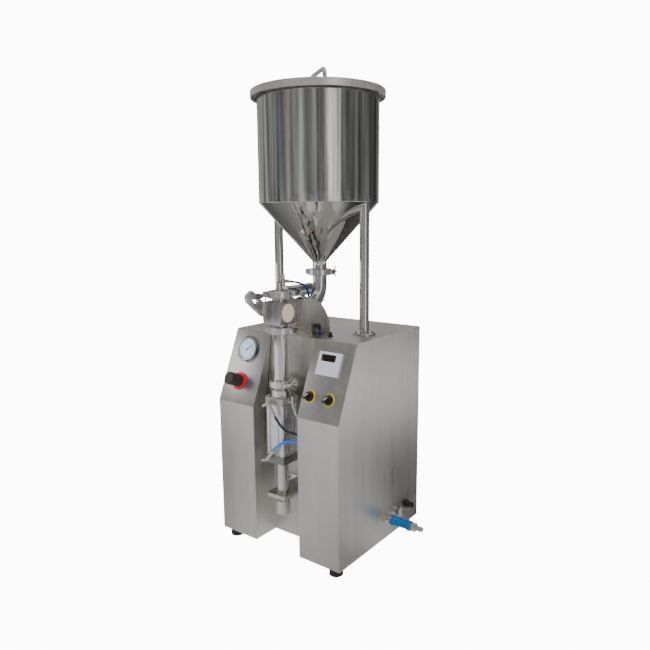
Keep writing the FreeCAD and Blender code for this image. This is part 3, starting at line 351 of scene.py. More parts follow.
def ptfe(name):
    """Cream PTFE with turning marks about the rotor's axis."""
    material, tree, shader = tree_of(name)
    where = node(tree, "ShaderNodeTexCoord").outputs["Object"]
    middle = (0, -AXIS_Y, -VALVE_Z)
    centred = node(tree, "ShaderNodeVectorMath", {0: where, 1: middle}, operation="ADD").outputs[0]
    parts = node(tree, "ShaderNodeSeparateXYZ", {0: centred}).outputs
    squares = [calc(tree, "POWER", parts[axis], 2.0) for axis in ("Y", "Z")]
    radius = calc(tree, "POWER", calc(tree, "ADD", *squares), 0.5)
    rings = calc(tree, "SINE", calc(tree, "MULTIPLY", radius, RING_PITCH))
    cloud = noise(tree, coords(tree, (60, 60, 60)), detail=4)
    drive(tree, shader, "Base Color", tinted(tree, cloud, (0.66, 0.55, 0.37), 0.06))
    drive(tree, shader, "Roughness", spread(tree, cloud, 0.42, 0.6))
    bump(tree, shader, rings, 0.12, 0.0002)
    return material


CABINET = cabinet_steel("brushed sheet", (0.60, 0.585, 0.56), 0.36)
HOPPER = mirror("hopper mirror", (0.66, 0.65, 0.63), 0.045, 0.30, (17, 17, 1.3))
PIPE = mirror("pipe mirror", (0.74, 0.73, 0.72), 0.06, 0.04)
SATIN = steel("lid band", (0.74, 0.715, 0.70), 0.34, "z", 0.04, 0.015, 0.02)
CAST = steel("cast clamp", (0.70, 0.69, 0.68), 0.20, "", 0.05, 0.16)
BLOCK = steel("valve block", (0.56, 0.53, 0.53), 0.17, "z", 0.04, 0.03)
NECK = steel("neck plate", (0.66, 0.62, 0.57), 0.34, "z", 0.05, 0.05)
CRANK = steel("crank arm", (0.74, 0.75, 0.79), 0.42, "", 0.05, 0.12)
NUT = steel("nuts and screws", (0.62, 0.61, 0.60), 0.22, "", 0.06, 0.1)
TURNED = mirror("turned steel", (0.70, 0.69, 0.67), 0.12, 0.03)
CAP_DARK = steel("cylinder cap", (0.26, 0.27, 0.25), 0.38, "", 0.07, 0.12)
CAP_LIGHT = steel("cylinder head", (0.52, 0.50, 0.47), 0.40, "", 0.07, 0.12)
BARREL = steel("cylinder barrel", (0.76, 0.77, 0.79), 0.27, "z", 0.05, 0.05)
NICKEL = steel("nickel", (0.72, 0.69, 0.61), 0.20, "", 0.08, 0.1)
BEZEL = mirror("gauge bezel", (0.42, 0.44, 0.46), 0.10, 0.03)
SLEEVE = plastic("slide sleeve", (0.02, 0.22, 0.62), 0.26, 0.04, 900, 0.55)
RUBBER = plastic("foot rubber", (0.018, 0.017, 0.017), 0.72, 0.3, 500)
SEAL = plastic("gasket", (0.72, 0.71, 0.67), 0.55, 0.1)
BLACK = plastic("black plastic", (0.014, 0.013, 0.013), 0.30, 0.1, 1100, vary=0.3)
KNOB = plastic("knob plastic", (0.032, 0.021, 0.018), 0.42, 0.2, 1100, vary=0.3)
RED = plastic("red ring", (0.60, 0.010, 0.030), 0.28, 0.05)
YELLOW = plastic("yellow ring", (0.82, 0.60, 0.004), 0.32, 0.06)
LILAC = plastic("counter face", (0.56, 0.56, 0.68), 0.34, 0.08, 1200, vary=0.04)
WINDOW = plastic("counter window", (0.012, 0.004, 0.006), 0.12, 0.01, 300)
DIGIT = plastic("unlit digit", (0.014, 0.003, 0.004), 0.3, 0.02)
DIAL = plastic("gauge dial", (0.44, 0.54, 0.69), 0.42, 0.03, 900, vary=0.03)
INK = plastic("dial print", (0.03, 0.05, 0.10), 0.45, 0.02)
WHITE = plastic("white mark", (0.85, 0.85, 0.83), 0.4, 0.02)
HOSE_BLACK = plastic("black hose", (0.012, 0.012, 0.015), 0.32, 0.05, 300)
HOSE_BLUE = plastic("blue hose", (0.0, 0.15, 0.66), 0.30, 0.04, 300)
HOSE_DARK = plastic("dark blue hose", (0.008, 0.035, 0.22), 0.25, 0.04, 300)
HOSE_CLEAR = clear("clear hose", (0.80, 0.86, 0.86), 0.12, 0.55, 1.35)
GLASS = clear("gauge glass", (1.0, 1.0, 1.0), 0.0)
PTFE = ptfe("rotor face")
SILVER = steel("silencer metal", (0.72, 0.72, 0.71), 0.26, "", 0.08, 0.1)
VALVES = plastic("pilot valves", (0.05, 0.05, 0.055), 0.4, 0.08)

ON_NODE = {
    "cylinder_caps": CAP_DARK, "rod_gland": TURNED, "cylinder_barrel": BARREL, "valve_body": BLOCK,
    "rotor_cover": BLOCK, "neck_bracket": NECK, "actuator_body": TURNED,
    "actuator_rod": TURNED, "metering_piston": TURNED, "stop_screw": TURNED, "fasteners": NUT,
    "clamp_gaskets": SEAL, "rubber_feet": RUBBER, "hose_grommets": BLACK, "valve_manifold": VALVES,
    "valve_rotor": PTFE, "speed_controllers": NICKEL, "air_inlet": NICKEL, "panel_fittings": NICKEL,
    "slide_sleeve": SLEEVE, "regulator_body": RED, "selector_knob_left": BLACK,
    "selector_knob_right": BLACK, "counter_case": LILAC, "gauge_case": BEZEL, "gauge_needle": INK,
    "back_cover": CABINET, "base_pan": CABINET, "metering_tube": PIPE, "inlet_elbow": PIPE,
    "outlet_stub": PIPE, "stop_tube": PIPE, "hopper_posts": PIPE,
}
for joint in ("hopper", "inlet", "outlet", "upper", "lower"):
    ON_NODE[joint + "_clamp"] = CAST


WELD_GAP, SPLIT_ANGLE = 2e-6, math.radians(28)


def dress(name, material):
    """Material and smooth shading for a CAD node that stays on show."""
    obj = NODES[name]
    mesh = obj.data
    mesh.materials.clear()
    mesh.materials.append(material)
    if "custom_normal" in mesh.attributes:
        mesh.attributes.remove(mesh.attributes["custom_normal"])
    mesh.polygons.foreach_set("use_smooth", [True] * len(mesh.polygons))
    weld = obj.modifiers.new("weld", "WELD")
    weld.merge_threshold = WELD_GAP
    split = obj.modifiers.new("split", "EDGE_SPLIT")
    split.split_angle = SPLIT_ANGLE


for name, material in ON_NODE.items():
    dress(name, material)


def zone(name, material, test):
    """Second finish on the faces of a node whose middle passes the test (metres)."""
    mesh = NODES[name].data
    mesh.materials.append(material)
    index = len(mesh.materials) - 1
    for face in mesh.polygons:
        if test(Vector(face.center)):
            face.material_index = index


CAP_MIDDLE, STOP_PLATE_TOP = 0.345, 0.1735
SILENCER_BACK, SILENCER_TOP, PEDAL_BACK, SIDE_TOP = 0.0855, 0.12, 0.1, 0.2
PORT_RING = (SIDE_X + 12.1 * MM, SIDE_X + 17.1 * MM)
# upper cap, plate under the stop tube, fitting on the neck, silencer, and the ports' black parts
zone("cylinder_caps", CAP_LIGHT, lambda p: p.z > CAP_MIDDLE)
zone("stop_tube", NECK, lambda p: p.z < STOP_PLATE_TOP)
zone("speed_controllers", BLACK, lambda p: p.z > 0.57 and p.x > 0)
zone("panel_fittings", SILVER, lambda p: p.y < SILENCER_BACK and p.z < SILENCER_TOP)
zone("panel_fittings", BLACK,
     lambda p: p.y > PEDAL_BACK or p.z > SIDE_TOP or PORT_RING[0] < p.x < PORT_RING[1])


# ---------------------------------------------------------------- cabinet skin
SHEET, FOLD_RADIUS = 2 * MM, 2.4 * MM


def cabinet_skin():
    """The welded and bent sheet with rounded folds, open at the slot and behind the back cover."""
    bm = bmesh.new()
    outline = [(FRONT_Y, FLOOR_Z), (FRONT_Y, SLOPE_Z), (SLOT_Y, TOP_Z), (BACK_Y, TOP_Z), (BACK_Y, FLOOR_Z)]
    plate(bm, outline, 2 * SIDE_X, frame_at(Vector((0, 0, 0)), Y, X))
    slot_cut = bmesh.new()
    slab(slot_cut, (2 * SLOT_X, 0.2, 0.8), Matrix.Translation((0, SLOT_Y - 0.1, -0.1)))
    bm = boolean(bm, slot_cut)
    back_cut = bmesh.new()
    slab(back_cut, (2 * (SIDE_X - SHEET), 0.1, TOP_Z - FLOOR_Z - SHEET + 0.05),
         Matrix.Translation((0, BACK_Y - SHEET + 0.05, FLOOR_Z - 0.05)))
    bm = boolean(bm, back_cut)
    bmesh.ops.dissolve_limit(bm, angle_limit=math.radians(1), verts=bm.verts, edges=bm.edges)
    sharp = [e for e in bm.edges if len(e.link_faces) == 2 and e.calc_face_angle(0) > math.radians(15)]
    folds = [e for e in sharp if max(v.co.y for v in e.verts) < BACK_Y - 1 * MM]
    bmesh.ops.bevel(bm, geom=folds, offset=FOLD_RADIUS, segments=5, affect="EDGES", profile=0.5,
                    clamp_overlap=True)
    skin = add("cabinet_skin", bm, ROOT, CABINET, 40)
    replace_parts(skin, "left_side_panel", "right_side_panel", "left_front_panel", "right_front_panel",
                "top_panel", "slot_channel")


# ---------------------------------------------------------------- hopper
HOPPER_R, HOPPER_WALL = 0.157, 1.5 * MM
PIPE_R, PIPE_BORE, FERRULE_R = 0.019, 0.0173, 0.02525
RIM_R, LID_R, LID_SKIRT = 0.160, 0.173, 17 * MM
HANDLE_R, HANDLE_HEADING = 5.5 * MM, math.radians(145.6)
BEAD_STEPS = 240


SPOUT_Z, CONE_LOW, CONE_HIGH, HOPPER_TOP = 0.734, 0.7615, 0.913, 1.190


def vessel():
    """Ferrule, spout, cone, cylinder and rim, with weld beads at both ends of the cone."""
    spout, cone_low, cone_high, top = SPOUT_Z, CONE_LOW, CONE_HIGH, HOPPER_TOP
    bm = bmesh.new()
    outer = [(FERRULE_R, spout), (FERRULE_R, spout + 1.6 * MM), (PIPE_R + 2 * MM, spout + 6 * MM),
             (PIPE_R, spout + 7.5 * MM), (PIPE_R, cone_low - 3 * MM),
             (PIPE_R + 1.5 * MM, cone_low + 1.5 * MM)]
    outer += [(PIPE_R + (HOPPER_R - PIPE_R) * k / 12, cone_low + (cone_high - cone_low) * k / 12)
              for k in range(1, 12)]
    outer += [(HOPPER_R - 2.5 * MM, cone_high - 2.6 * MM), (HOPPER_R - 0.4 * MM, cone_high - 0.4 * MM),
              (HOPPER_R, cone_high + 2.5 * MM)]
    outer += [(HOPPER_R, cone_high + (top - 6 * MM - cone_high) * k / 10) for k in range(1, 11)]
    outer += [(RIM_R - 1.2 * MM, top - 6 * MM), (RIM_R, top - 4.8 * MM), (RIM_R, top - 1.2 * MM),
              (RIM_R - 1.2 * MM, top)]
    inside = HOPPER_R - HOPPER_WALL
    inner = [(inside, top), (inside, cone_high + 1 * MM), (PIPE_BORE, cone_low + 1 * MM), (PIPE_BORE, spout)]
    lathe(bm, outer + inner, segments=192)
    for height, radius in ((cone_high - 0.2 * MM, HOPPER_R - 0.1 * MM),
                           (cone_low + 0.4 * MM, PIPE_R + 1.2 * MM)):
        bead = [Vector((x, y, height)) for x, y in arc(radius, 0, 360, BEAD_STEPS)]
        ripples = [(0.55 + 0.12 * (i % 2)) * MM for i in range(BEAD_STEPS + 1)]
        sweep(bm, bead, ripples, segments=8)
    shell = add("hopper_vessel", bm, ROOT, HOPPER, 30)
    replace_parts(shell, "hopper_shell")


LID_BASE = HOPPER_TOP + 0.2 * MM
LID_FACE = LID_BASE + 1.5 * MM


def lid_cover():
    """Round cover with a skirt over the hopper's rim."""
    base, face = LID_BASE, LID_FACE
    bm = bmesh.new()
    lathe(bm, [(0, base), (LID_R - 1.5 * MM, base), (LID_R - 1.5 * MM, base - LID_SKIRT),
               (LID_R - 0.8 * MM, base - LID_SKIRT - 0.4 * MM), (LID_R, base - LID_SKIRT + 0.4 * MM),
               (LID_R, base - 2 * MM), (LID_R - 0.6 * MM, base), (LID_R - 2.4 * MM, base + 1.2 * MM),
               (LID_R - 5 * MM, face), (0.120, face), (0.06, face), (0, face)], segments=192)
    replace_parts(add("lid_cover", bm, "lid", SATIN, 30), "hopper_lid")


def lid_handle():
    """Bent bar on two feet."""
    handle = bmesh.new()
    turn = Matrix.Rotation(HANDLE_HEADING, 4, "Z")
    half, bend, low, high = 0.056, 0.016, LID_FACE, LID_FACE + 46 * MM
    path = [Vector((-half, 0, low)), Vector((-half, 0, low + 0.014))]
    path += [Vector((-half + bend - bend * math.cos(t), 0, high - bend + bend * math.sin(t)))
             for t in (math.pi / 2 * i / 10 for i in range(11))]
    path += [Vector((-p.x, 0, p.z)) for p in reversed(path)]
    sweep(handle, [turn @ p for p in path], [HANDLE_R] * len(path), 40)
    for sign in (-1, 1):
        foot = turn @ Vector((sign * half, 0, low - 0.1 * MM))
        lathe(handle, mm([(0, 0), (7.6, 0), (7.0, 1.4), (5.6, 2.6), (0, 2.6)]), Matrix.Translation(foot), 40)
    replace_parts(add("lid_grip", handle, "lid", PIPE, 35), "hopper_lid")


# ---------------------------------------------------------------- wing nuts
def heading(degrees):
    angle = math.radians(degrees)
    return Vector((math.cos(angle), math.sin(angle), 0))


# middle of each joint, its pipe's axis and the way to its bolt
CLAMPS = {
    "hopper": (Vector((0, 0, SPOUT_Z - 1 * MM)), Z, heading(15)),
    "inlet": (Vector((0, -0.0745, VALVE_Z)), -Y, -Z),
    "outlet": (Vector((0, AXIS_Y, 0.689)), Z, heading(-135)),
    "upper": (Vector((0, AXIS_Y, 0.599)), Z, heading(15)),
    "lower": (Vector((0, AXIS_Y, 0.463)), Z, heading(-30)),
}
# a wing's outline and a nut's profile, mm from the bolt's axis; the bolt stands off the joint's middle
BOLT_OFFSET, NUT_SEAT = 0.035, 9.3 * MM
WING = [(12.5, 3.6), (14.5, 6.5), (18.0, 9.4), (22.5, 12.0), (25.0, 13.8), (27.2, 14.4), (29.2, 13.2),
        (29.6, 11.4), (28.4, 9.6), (24.5, 8.2), (21.0, 6.4), (19.5, 3.6)]
NUT_HUB = [(3.05, 0), (4.7, 0), (5.0, 0.4), (4.9, 4), (4.9, 9.6), (4.2, 10.6), (3.05, 10.7)]
UPRIGHT = Matrix(((0, 0, 1, 0), (1, 0, 0, 0), (0, 1, 0, 0), (0, 0, 0, 1)))


def wing_nuts():
    for name, (middle, axis, arm) in CLAMPS.items():
        place = frame_at(middle, arm, axis)
        bm = bmesh.new()
        up = place @ Matrix.Translation((BOLT_OFFSET, NUT_SEAT, 0)) @ Matrix.Rotation(-math.pi / 2, 4, "X")
        lathe(bm, mm(NUT_HUB), up, 40)
        wing_place = place @ Matrix.Translation((BOLT_OFFSET, 0, 0)) @ UPRIGHT
        for sign in (1, -1):
            points = mm((y, sign * z) for y, z in WING)
            if sign < 0:
                points.reverse()
            plate(bm, points, 3.2 * MM, wing_place, 0.9 * MM, 3)
        nut = add(name + "_wing", bm, name + "_nut", CAST, 40)
        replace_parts(nut, name + "_wing_nut")


# ---------------------------------------------------------------- instruments
# places on the slope: (x, rise)
GAUGE, REGULATOR, COUNTER = (-0.139, 0.145), (-0.141, 0.058), (0.134, 0.1405)
SELECTORS = {"left": (0.0986, 0.0555), "right": (0.157, 0.0555)}
LINE_LIFT = 18.95 * MM
DIAL_START, DIAL_SWEEP, TICKS = 225, 270, 50
NUMBERS, NUMBER_RING, NUMBER_HEIGHT = ("0", "2", "4", "6", "8", "10"), 16.6 * MM, 5.6 * MM
GRIP = [(0, 6.4), (15.6, 6.4), (16.75, 7.4), (16.75, 25.2), (15.4, 26.6), (14.6, 27.2), (14.6, 29.6),
        (15.6, 30.4), (16.75, 31.6), (16.75, 42.8), (15.4, 44.6), (13.2, 45), (12.6, 44.2), (0, 44.2)]
RING = [(13.4, 0), (15.3, 0), (15.3, 1.6), (14.7, 2.4), (13.4, 2.4)]
COLLAR = [(8.0, 0), (13.35, 0), (13.35, 2.9), (12.6, 3.9), (11.8, 3.9), (11.2, 2.2), (8.0, 2.2)]


def slope_place(spot, out=0.0):
    return frame_at(on_slope(*spot, out), X, SLOPE_OUT)


def gauge():
    """Dial, its ticks, line and numbers, and the glass."""
    dial_place = slope_place(GAUGE, 3.05 * MM)
    bm = bmesh.new()
    lathe(bm, mm([(0, 0), (29.3, 0), (29.3, 0.3), (27.8, 0.45), (0, 0.35)]), dial_place, 96)
    add("gauge_dial", bm, ROOT, DIAL)
    bm = bmesh.new()
    for i in range(TICKS + 1):
        angle = math.radians(DIAL_START - DIAL_SWEEP * i / TICKS)
        major = i % 10 == 0
        length, width = (5.0, 1.1) if major else ((3.6, 0.7) if i % 5 == 0 else (2.6, 0.45))
        middle = 25.8 - length / 2
        turn = Matrix.Rotation(angle, 4, "Z") @ Matrix.Translation((middle * MM, 0, 0.36 * MM))
        slab(bm, (length * MM, width * MM, 0.16 * MM), dial_place @ turn)
    line = [dial_place @ Vector((x, y, 0.5 * MM))
            for x, y in arc(26.2 * MM, DIAL_START, DIAL_START - DIAL_SWEEP, 90)]
    sweep(bm, line, [0.16 * MM] * len(line), 6)
    spots = arc(NUMBER_RING, DIAL_START, DIAL_START - DIAL_SWEEP, len(NUMBERS) - 1)
    for text, (x, y) in zip(NUMBERS, spots):
        merge(bm, digits(text, NUMBER_HEIGHT), dial_place @ Matrix.Translation((x, y, 0.42 * MM)))
    add("gauge_marks", bm, ROOT, INK)
    bm = bmesh.new()
    lathe(bm, mm([(0, 6.4), (29.4, 6.4), (29.4, 7.3), (26, 7.6), (0, 7.7)]), slope_place(GAUGE), 96)
    add("gauge_glass", bm, ROOT, GLASS)


def counter():
    """Window, unlit digits, the edge under them and the keys."""
    place = slope_place(COUNTER)

    def block(bm, size, spot, bevel, segments):
        at = place @ Matrix.Translation([v * MM for v in spot])
        slab(bm, [v * MM for v in size], at, bevel * MM, segments)

    bm = bmesh.new()
    block(bm, (42.6, 17.1, 0.9), (-2.5, 14.2, 5.35), 0.25, 2)
    add("counter_window", bm, ROOT, WINDOW)
    bm = bmesh.new()
    for i in range(4):
        spot = ((-13.5 + 7.4 * i) * MM, 14.2 * MM, 6.26 * MM)
        merge(bm, digits("8", 8.5 * MM), place @ Matrix.Translation(spot))
    add("counter_digits", bm, ROOT, DIGIT)
    bm = bmesh.new()
    block(bm, (52, 1.0, 0.5), (0, 0.5, 6.45), 0.2, 2)
    for i in range(4):
        block(bm, (9, 5.2, 0.9), (-20 + 13.2 * i, -8.2, 6.4), 0.4, 3)
    block(bm, (12, 6.0, 1.2), (18, -20, 6.4), 0.5, 3)
    add("counter_keys", bm, ROOT, LILAC)


def selectors():
    """White line on each grip, and the yellow ring and black collar round it."""
    along = (X + SLOPE_UP).normalized()
    for name, spot in SELECTORS.items():
        place = frame_at(on_slope(*spot, LINE_LIFT), along, SLOPE_OUT)
        bm = bmesh.new()
        slab(bm, (13 * MM, 1.3 * MM, 0.25 * MM), place @ Matrix.Translation((1.2 * MM, 0, 0)), 0.1 * MM, 1)
        add("selector_line_" + name, bm, "selector_" + name, WHITE)

    rings, collars = bmesh.new(), bmesh.new()
    for spot in SELECTORS.values():
        lathe(rings, mm(RING), slope_place(spot), 96)
        lathe(collars, mm(COLLAR), slope_place(spot), 96)
    bezels = [add("selector_rings", rings, ROOT, YELLOW),
              add("selector_collars", collars, ROOT, BLACK)]
    for bezel in bezels:
        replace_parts(bezel, "selector_bezels")


def regulator():
    """Fluted grip on its spindle."""
    place = slope_place(REGULATOR)
    bm = bmesh.new()
    lathe(bm, mm(GRIP), place, 240, (24, 1.1 * MM, {2, 3, 8, 9}))
    lathe(bm, mm([(0, -11), (4, -11), (4, 6.5), (0, 6.5)]), place, 32)
    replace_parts(add("regulator_grip", bm, "regulator_knob", KNOB, 40), "regulator_knob")


SEGMENTS = {"0": "abcdef", "1": "bc", "2": "abged", "4": "fgbc", "6": "afgedc", "8": "abcdefg"}


def digits(text, height):
    """Plain seven-stroke numbers, centred, lying in the xy plane."""
    bm = bmesh.new()
    width, stroke = height * 0.5, height * 0.13
    strokes = {"a": (0, 1, 0), "g": (0, 0, 0), "d": (0, -1, 0), "f": (-1, 0.5, 1), "b": (1, 0.5, 1),
               "e": (-1, -0.5, 1), "c": (1, -0.5, 1)}
    for i, character in enumerate(text):
        shift = (i - (len(text) - 1) / 2) * height * 0.75
        for key in SEGMENTS[character]:
            x, y, upright = strokes[key]
            size = (stroke, height / 2, height * 0.03) if upright else (width, stroke, height * 0.03)
            where = Vector((shift + x * width / 2, y * height / 2, 0))
            slab(bm, size, Matrix.Translation(where))
    return bm


# ---------------------------------------------------------------- knobs and small turned parts
VOLUME_GRIP = [(0, 112), (15.8, 112), (17.4, 112.8), (18, 114.2), (18, 147.8), (17.2, 149.4), (15.6, 150),
               (8.05, 150), (8.05, 117.7), (0, 117.7)]


def volume_knob():
    bm = bmesh.new()
    lathe(bm, mm(VOLUME_GRIP), Matrix.Translation((0, AXIS_Y, 0)), 288, (48, 0.45 * MM, {3, 4}))
    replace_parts(add("volume_grip", bm, "volume_knob", TURNED, 40), "volume_knob")


CRANK_X, CRANK_LEAN, CRANK_THICK = -0.058, math.radians(45), 10 * MM
CRANK_HUB, CRANK_SLOT_HALF, CRANK_SLOT = 16, 7.5, (36, 55)


def crank():
    """Broad slotted arm, leaning half the valve's turn forward, with its shaft nut."""
    along = Vector((0, -math.sin(CRANK_LEAN), math.cos(CRANK_LEAN)))
    place = frame_at(Vector((CRANK_X, AXIS_Y, VALVE_Z)), along, X)
    outline = [(70, -6), (64, -11.8)] + arc(CRANK_HUB, 270, 90, 12) + [(50, 20.5), (62, 21), (70, 15)]
    outline.reverse()
    gap = [(x + dx, dy) for x, start in ((CRANK_SLOT[1], -90), (CRANK_SLOT[0], 90))
           for dx, dy in arc(CRANK_SLOT_HALF, start, start + 180, 12)]
    arm, slot = bmesh.new(), bmesh.new()
    plate(arm, mm(outline), CRANK_THICK, place, 0.8 * MM, 2)
    plate(slot, mm(gap), CRANK_THICK + 4 * MM, place)
    arm = boolean(arm, slot)
    nut_place = place @ Matrix.Translation((0, 0, -8 * MM))
    plate(arm, arc(11.2 * MM, 0, 300, 5), 6 * MM, nut_place, 0.6 * MM, 2)
    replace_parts(add("crank_lever", arm, "valve_rotor", CRANK, 35), "crank_arm")


# ---------------------------------------------------------------- hoses
# slot, finish, outside diameter mm, length m, control points mm
ROUTES = {
    "hose_black": ("hose_black", HOSE_BLACK, 6.0, 0.0940,
                   [(13, -205.6, 387.5), (34, -203, 356), (58, -184, 345), (84, -184, 345)]),
    "hose_blue": ("hose_blue", HOSE_BLUE, 6.0, 0.0865,
                  [(8, -206.5, 299), (20, -205, 315), (50, -184, 326), (80, -184, 326)]),
    "hose_clear": ("hose_clear", HOSE_CLEAR, 4.0, 0.0582,
                   [(46, -171, 406), (52, -169, 376), (84, -169, 376)]),
    "hose_valve": ("hose_dark_blue", HOSE_DARK, 6.0, 0.1752,
                   [(-51, -67, 710), (-35, -46, 707), (-27.5, -22, 694), (-26.5, -13, 664),
                    (-26.5, -11, 628), (-26.5, -11, 573)]),
    "hose_neck": ("hose_dark_blue", HOSE_DARK, 6.0, 0.0464,
                  [(46, -63, 591), (46, -60, 582), (46, -60, 545)]),
}


def hoses():
    for name, (slot, material, diameter, length, points) in ROUTES.items():
        curve = bpy.data.curves.new(name + "_line", "CURVE")
        curve.dimensions = "3D"
        curve.bevel_depth = diameter * MM / 2
        curve.bevel_resolution = 8
        curve.use_fill_caps = True
        spline = curve.splines.new("NURBS")
        spline.points.add(len(points) - 1)
        for target, point in zip(spline.points, points):
            target.co = [v * MM for v in point] + [1]
        spline.use_endpoint_u = True
        spline.order_u = 3
        spline.resolution_u = 24
        piece = bpy.data.objects.new(name + "_line", curve)
        bpy.context.scene.collection.objects.link(piece)
        curve.materials.append(material)
        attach(piece, ROOT)
        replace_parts(piece, name)


# ---------------------------------------------------------------- stage
def stage_object(name, bm, material, seen=True):
    mesh = bpy.data.meshes.new(name)
    bm.to_mesh(mesh)
    bm.free()
    mesh.materials.append(material)
    obj = bpy.data.objects.new(name, mesh)
    bpy.context.scene.collection.objects.link(obj)
    if not seen:
        obj.visible_camera = False
        obj.visible_diffuse = False
        obj.visible_shadow = False
        obj.visible_transmission = False
    return obj


def emitter(name, build):
    """Glowing material; build gives its colour and strength."""
    material = bpy.data.materials.new(name)
    material.use_nodes = True
    tree = material.node_tree
    tree.nodes.clear()
    where = node(tree, "ShaderNodeTexCoord").outputs["Object"]
    color, strength = build(tree, where)
    shader = node(tree, "ShaderNodeEmission", {"Color": color, "Strength": strength})
    out = node(tree, "ShaderNodeOutputMaterial")
    tree.links.new(shader.outputs[0], out.inputs["Surface"])
    return material


def card(name, centre, normal, size, strength):
    """Emissive card that only shows in reflections."""
    bm = bmesh.new()
    normal = Vector(normal).normalized()
    place = frame_at(Vector(centre), normal.cross(Z).normalized(), normal)
    corners = [place @ Vector((sx * size[0] / 2, sy * size[1] / 2, 0))
               for sx, sy in ((-1, -1), (1, -1), (1, 1), (-1, 1))]
    bm.faces.new([bm.verts.new(c) for c in corners])
    stage_object(name, bm, emitter(name, lambda tree, where: ((1, 1, 1, 1), strength)), seen=False)


# brightness of the room round the object by heading, degrees from +X
ROOM = [(-180, 0.28), (-172, 0.33), (-160, 0.42), (-145, 0.30), (-132.6, 0.16), (-121, 0.17), (-110, 0.30),
        (-100, 0.42), (-90, 0.38), (-80, 0.33), (-71, 0.25), (-61.6, 0.27), (-52, 0.20), (-43, 0.17),
        (-39, 0.3), (-34, 0.85), (-24, 1.12), (-14.7, 0.78), (-9.5, 0.28), (-4.8, 0.23), (6, 0.18),
        (17, 0.16), (28, 0.145), (41, 0.13), (55, 0.12), (73, 0.04), (85, 0.12), (99, 0.27), (120, 0.5),
        (157, 0.42), (180, 0.28)]
ROOM_TINTS = {-121: (0.93, 0.98, 1.12), -110: (1.06, 0.97, 0.97), -80: (0.95, 1.03, 0.96),
              -34: (1.04, 1.0, 0.93), -24: (1.04, 1.0, 0.93), -14.7: (1.05, 1.0, 0.92),
              6: (0.93, 1.02, 0.98), 17: (0.93, 1.02, 0.98)}
PLAIN_TINT = (0.99, 1.0, 1.005)
# the same for the floor, near the object and further out
FLOOR_NEAR = [(-180, 0.16), (-145, 0.30), (-130, 0.66), (-100, 0.74), (-82, 0.62), (-60, 0.55), (-40, 0.34),
              (-20, 0.26), (4, 0.58), (22, 0.50), (33, 0.24), (43, 0.07), (60, 0.05), (72, 0.06), (120, 0.12),
              (180, 0.16)]
FLOOR_FAR = [(-180, 0.14), (-160, 0.40), (-138, 1.05), (-104, 1.10), (-85, 0.70), (-50, 0.55), (0, 0.70),
             (30, 1.30), (46, 1.45), (54, 0.95), (62, 0.45), (70, 0.10), (90, 0.07), (130, 0.12), (172, 0.12),
             (180, 0.14)]


def heading_ramp(tree, where, table, tints={}):
    """Brightness by heading round +Z."""
    parts = node(tree, "ShaderNodeSeparateXYZ", {0: where}).outputs
    angle = calc(tree, "ARCTAN2", parts["Y"], parts["X"])
    factor = calc(tree, "MULTIPLY_ADD", angle, 1 / (2 * math.pi), 0.5)
    ramp = node(tree, "ShaderNodeValToRGB", {"Fac": factor})
    elements = ramp.color_ramp.elements
    while len(elements) > 1:
        elements.remove(elements[-1])
    for index, (degrees, value) in enumerate(table):
        position = (degrees + 180) / 360
        element = elements[0] if index == 0 else elements.new(position)
        element.position = position
        tint = tints.get(degrees, PLAIN_TINT)
        element.color = (*(value * t for t in tint), 1)
    return ramp.outputs["Color"]


ROOM_RADIUS, ROOM_HEIGHT, ROOM_SIDES = 3.0, 3.2, 180
# the card that the left slope mirrors: its middle, the way it faces, its size and its strength
CARD_MIDDLE, CARD_NORMAL = (-0.537, -0.403, 0.635), (0.601, 0.675, -0.425)
CARD_SIZE, CARD_GLOW = (0.36, 0.18), 1.9


def room():
    """Upright wall and floor overlay of soft bands that only reflections see."""
    bm = bmesh.new()
    rows = [[bm.verts.new((x, y, z)) for x, y in arc(ROOM_RADIUS, 0, 360, ROOM_SIDES)[:-1]]
            for z in (-0.01, ROOM_HEIGHT)]
    for i in range(ROOM_SIDES):
        j = (i + 1) % ROOM_SIDES
        bm.faces.new((rows[0][i], rows[0][j], rows[1][j], rows[1][i]))

    def wall_light(tree, where):
        layers = [noise(tree, coords(tree, scale), detail=2) for scale in ((0.9, 0.9, 1.3), (2.5, 2.5, 0.3))]
        patches = spread(tree, layers[0], 0.8, 1.2)
        streaks = spread(tree, layers[1], 0.45, 1.55, 0.36, 0.64)
        return heading_ramp(tree, where, ROOM, ROOM_TINTS), calc(tree, "MULTIPLY", patches, streaks)

    def floor_light(tree, where):
        length = node(tree, "ShaderNodeVectorMath", {0: where}, operation="LENGTH").outputs["Value"]
        far = spread(tree, length, 0, 1, 1.0, 1.75)
        mix = node(tree, "ShaderNodeMix", {0: far, 6: heading_ramp(tree, where, FLOOR_NEAR),
                                           7: heading_ramp(tree, where, FLOOR_FAR)}, data_type="RGBA")
        return mix.outputs[2], 1.0

    stage_object("room_wall", bm, emitter("room bands", wall_light), seen=False)
    bm = bmesh.new()
    bmesh.ops.create_circle(bm, cap_ends=True, segments=96, radius=ROOM_RADIUS)
    bmesh.ops.translate(bm, vec=(0, 0, 0.5 * MM), verts=bm.verts)
    stage_object("floor_glow", bm, emitter("floor bands", floor_light), seen=False)
    card("slope_card", CARD_MIDDLE, CARD_NORMAL, CARD_SIZE, CARD_GLOW)


def area(name, place, target, size, power):
    """Lamp that doesn't show in reflections."""
    data = bpy.data.lights.new(name, "AREA")
    data.shape, data.size, data.size_y = "RECTANGLE", size[0], size[1]
    data.energy = power
    obj = bpy.data.objects.new(name, data)
    bpy.context.scene.collection.objects.link(obj)
    obj.location = place
    obj.visible_glossy = False
    obj.rotation_euler = (Vector(target) - Vector(place)).to_track_quat("-Z", "Y").to_euler()


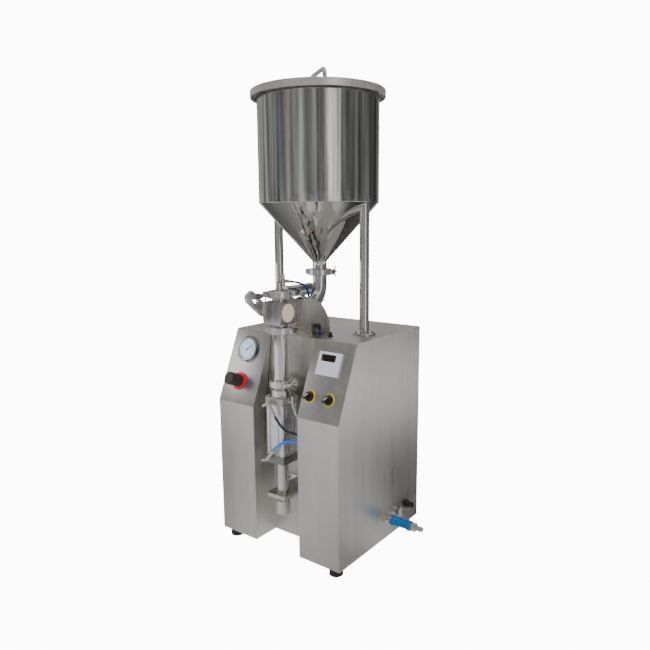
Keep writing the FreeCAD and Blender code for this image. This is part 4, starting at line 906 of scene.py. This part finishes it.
# strength of the surroundings as seen by the camera, by soft light and in reflections
BACKDROP, AMBIENT, MIRRORED = 12.0, 0.9, 0.66
FLOOR_GLOW = 11.0


def floor():
    bm = bmesh.new()
    bmesh.ops.create_circle(bm, cap_ends=True, segments=96, radius=14)
    material, tree, shader = tree_of("floor")
    shader.inputs["Base Color"].default_value = (0.93, 0.93, 0.93, 1)
    shader.inputs["Roughness"].default_value = 0.9
    shader.inputs["Specular IOR Level"].default_value = 0.1
    shader.inputs["Emission Color"].default_value = (1, 1, 1, 1)
    shader.inputs["Emission Strength"].default_value = FLOOR_GLOW
    stage_object("floor", bm, material).visible_diffuse = False


def surroundings():
    world = bpy.data.worlds.new("studio")
    bpy.context.scene.world = world
    world.use_nodes = True
    tree = world.node_tree
    ray = node(tree, "ShaderNodeLightPath").outputs
    seen = calc(tree, "MULTIPLY_ADD", ray["Is Camera Ray"], BACKDROP - AMBIENT, AMBIENT)
    level = calc(tree, "MULTIPLY_ADD", ray["Is Glossy Ray"], MIRRORED - AMBIENT, seen)
    tree.nodes["Background"].inputs["Color"].default_value = (1, 1, 1, 1)
    tree.links.new(level, tree.nodes["Background"].inputs["Strength"])
    area("key", (-1.6, -2.2, 2.6), (0, 0, 0.5), (1.6, 1.6), 60)
    area("fill", (2.4, -0.6, 2.2), (0, 0, 0.4), (1.5, 1.5), 30)


# solved from the cabinet's corners in the photograph: turn, lift and roll in radians
CAMERA_AT, CAMERA_TURNS, CAMERA_LENS = (1.0085, -1.3033, 0.8683), (0.65064, 0.16827, -0.00814), 34.136


def camera():
    data = bpy.data.cameras.new("camera")
    data.sensor_width, data.lens = 36.0, CAMERA_LENS
    obj = bpy.data.objects.new("camera", data)
    bpy.context.scene.collection.objects.link(obj)
    bpy.context.scene.camera = obj
    turn, lift, roll = CAMERA_TURNS
    back = Vector((math.sin(turn) * math.cos(lift), -math.cos(turn) * math.cos(lift), math.sin(lift)))
    right = (-back).cross(Z).normalized()
    up = right.cross(-back)
    c, s = math.cos(roll), math.sin(roll)
    matrix = Matrix((right * c + up * s, up * c - right * s, back)).transposed().to_4x4()
    matrix.translation = Vector(CAMERA_AT)
    obj.matrix_world = matrix


cabinet_skin()
vessel()
lid_cover()
lid_handle()
wing_nuts()
gauge()
counter()
selectors()
regulator()
volume_knob()
crank()
hoses()
floor()
room()
surroundings()
camera()

bpy.context.view_layer.update()
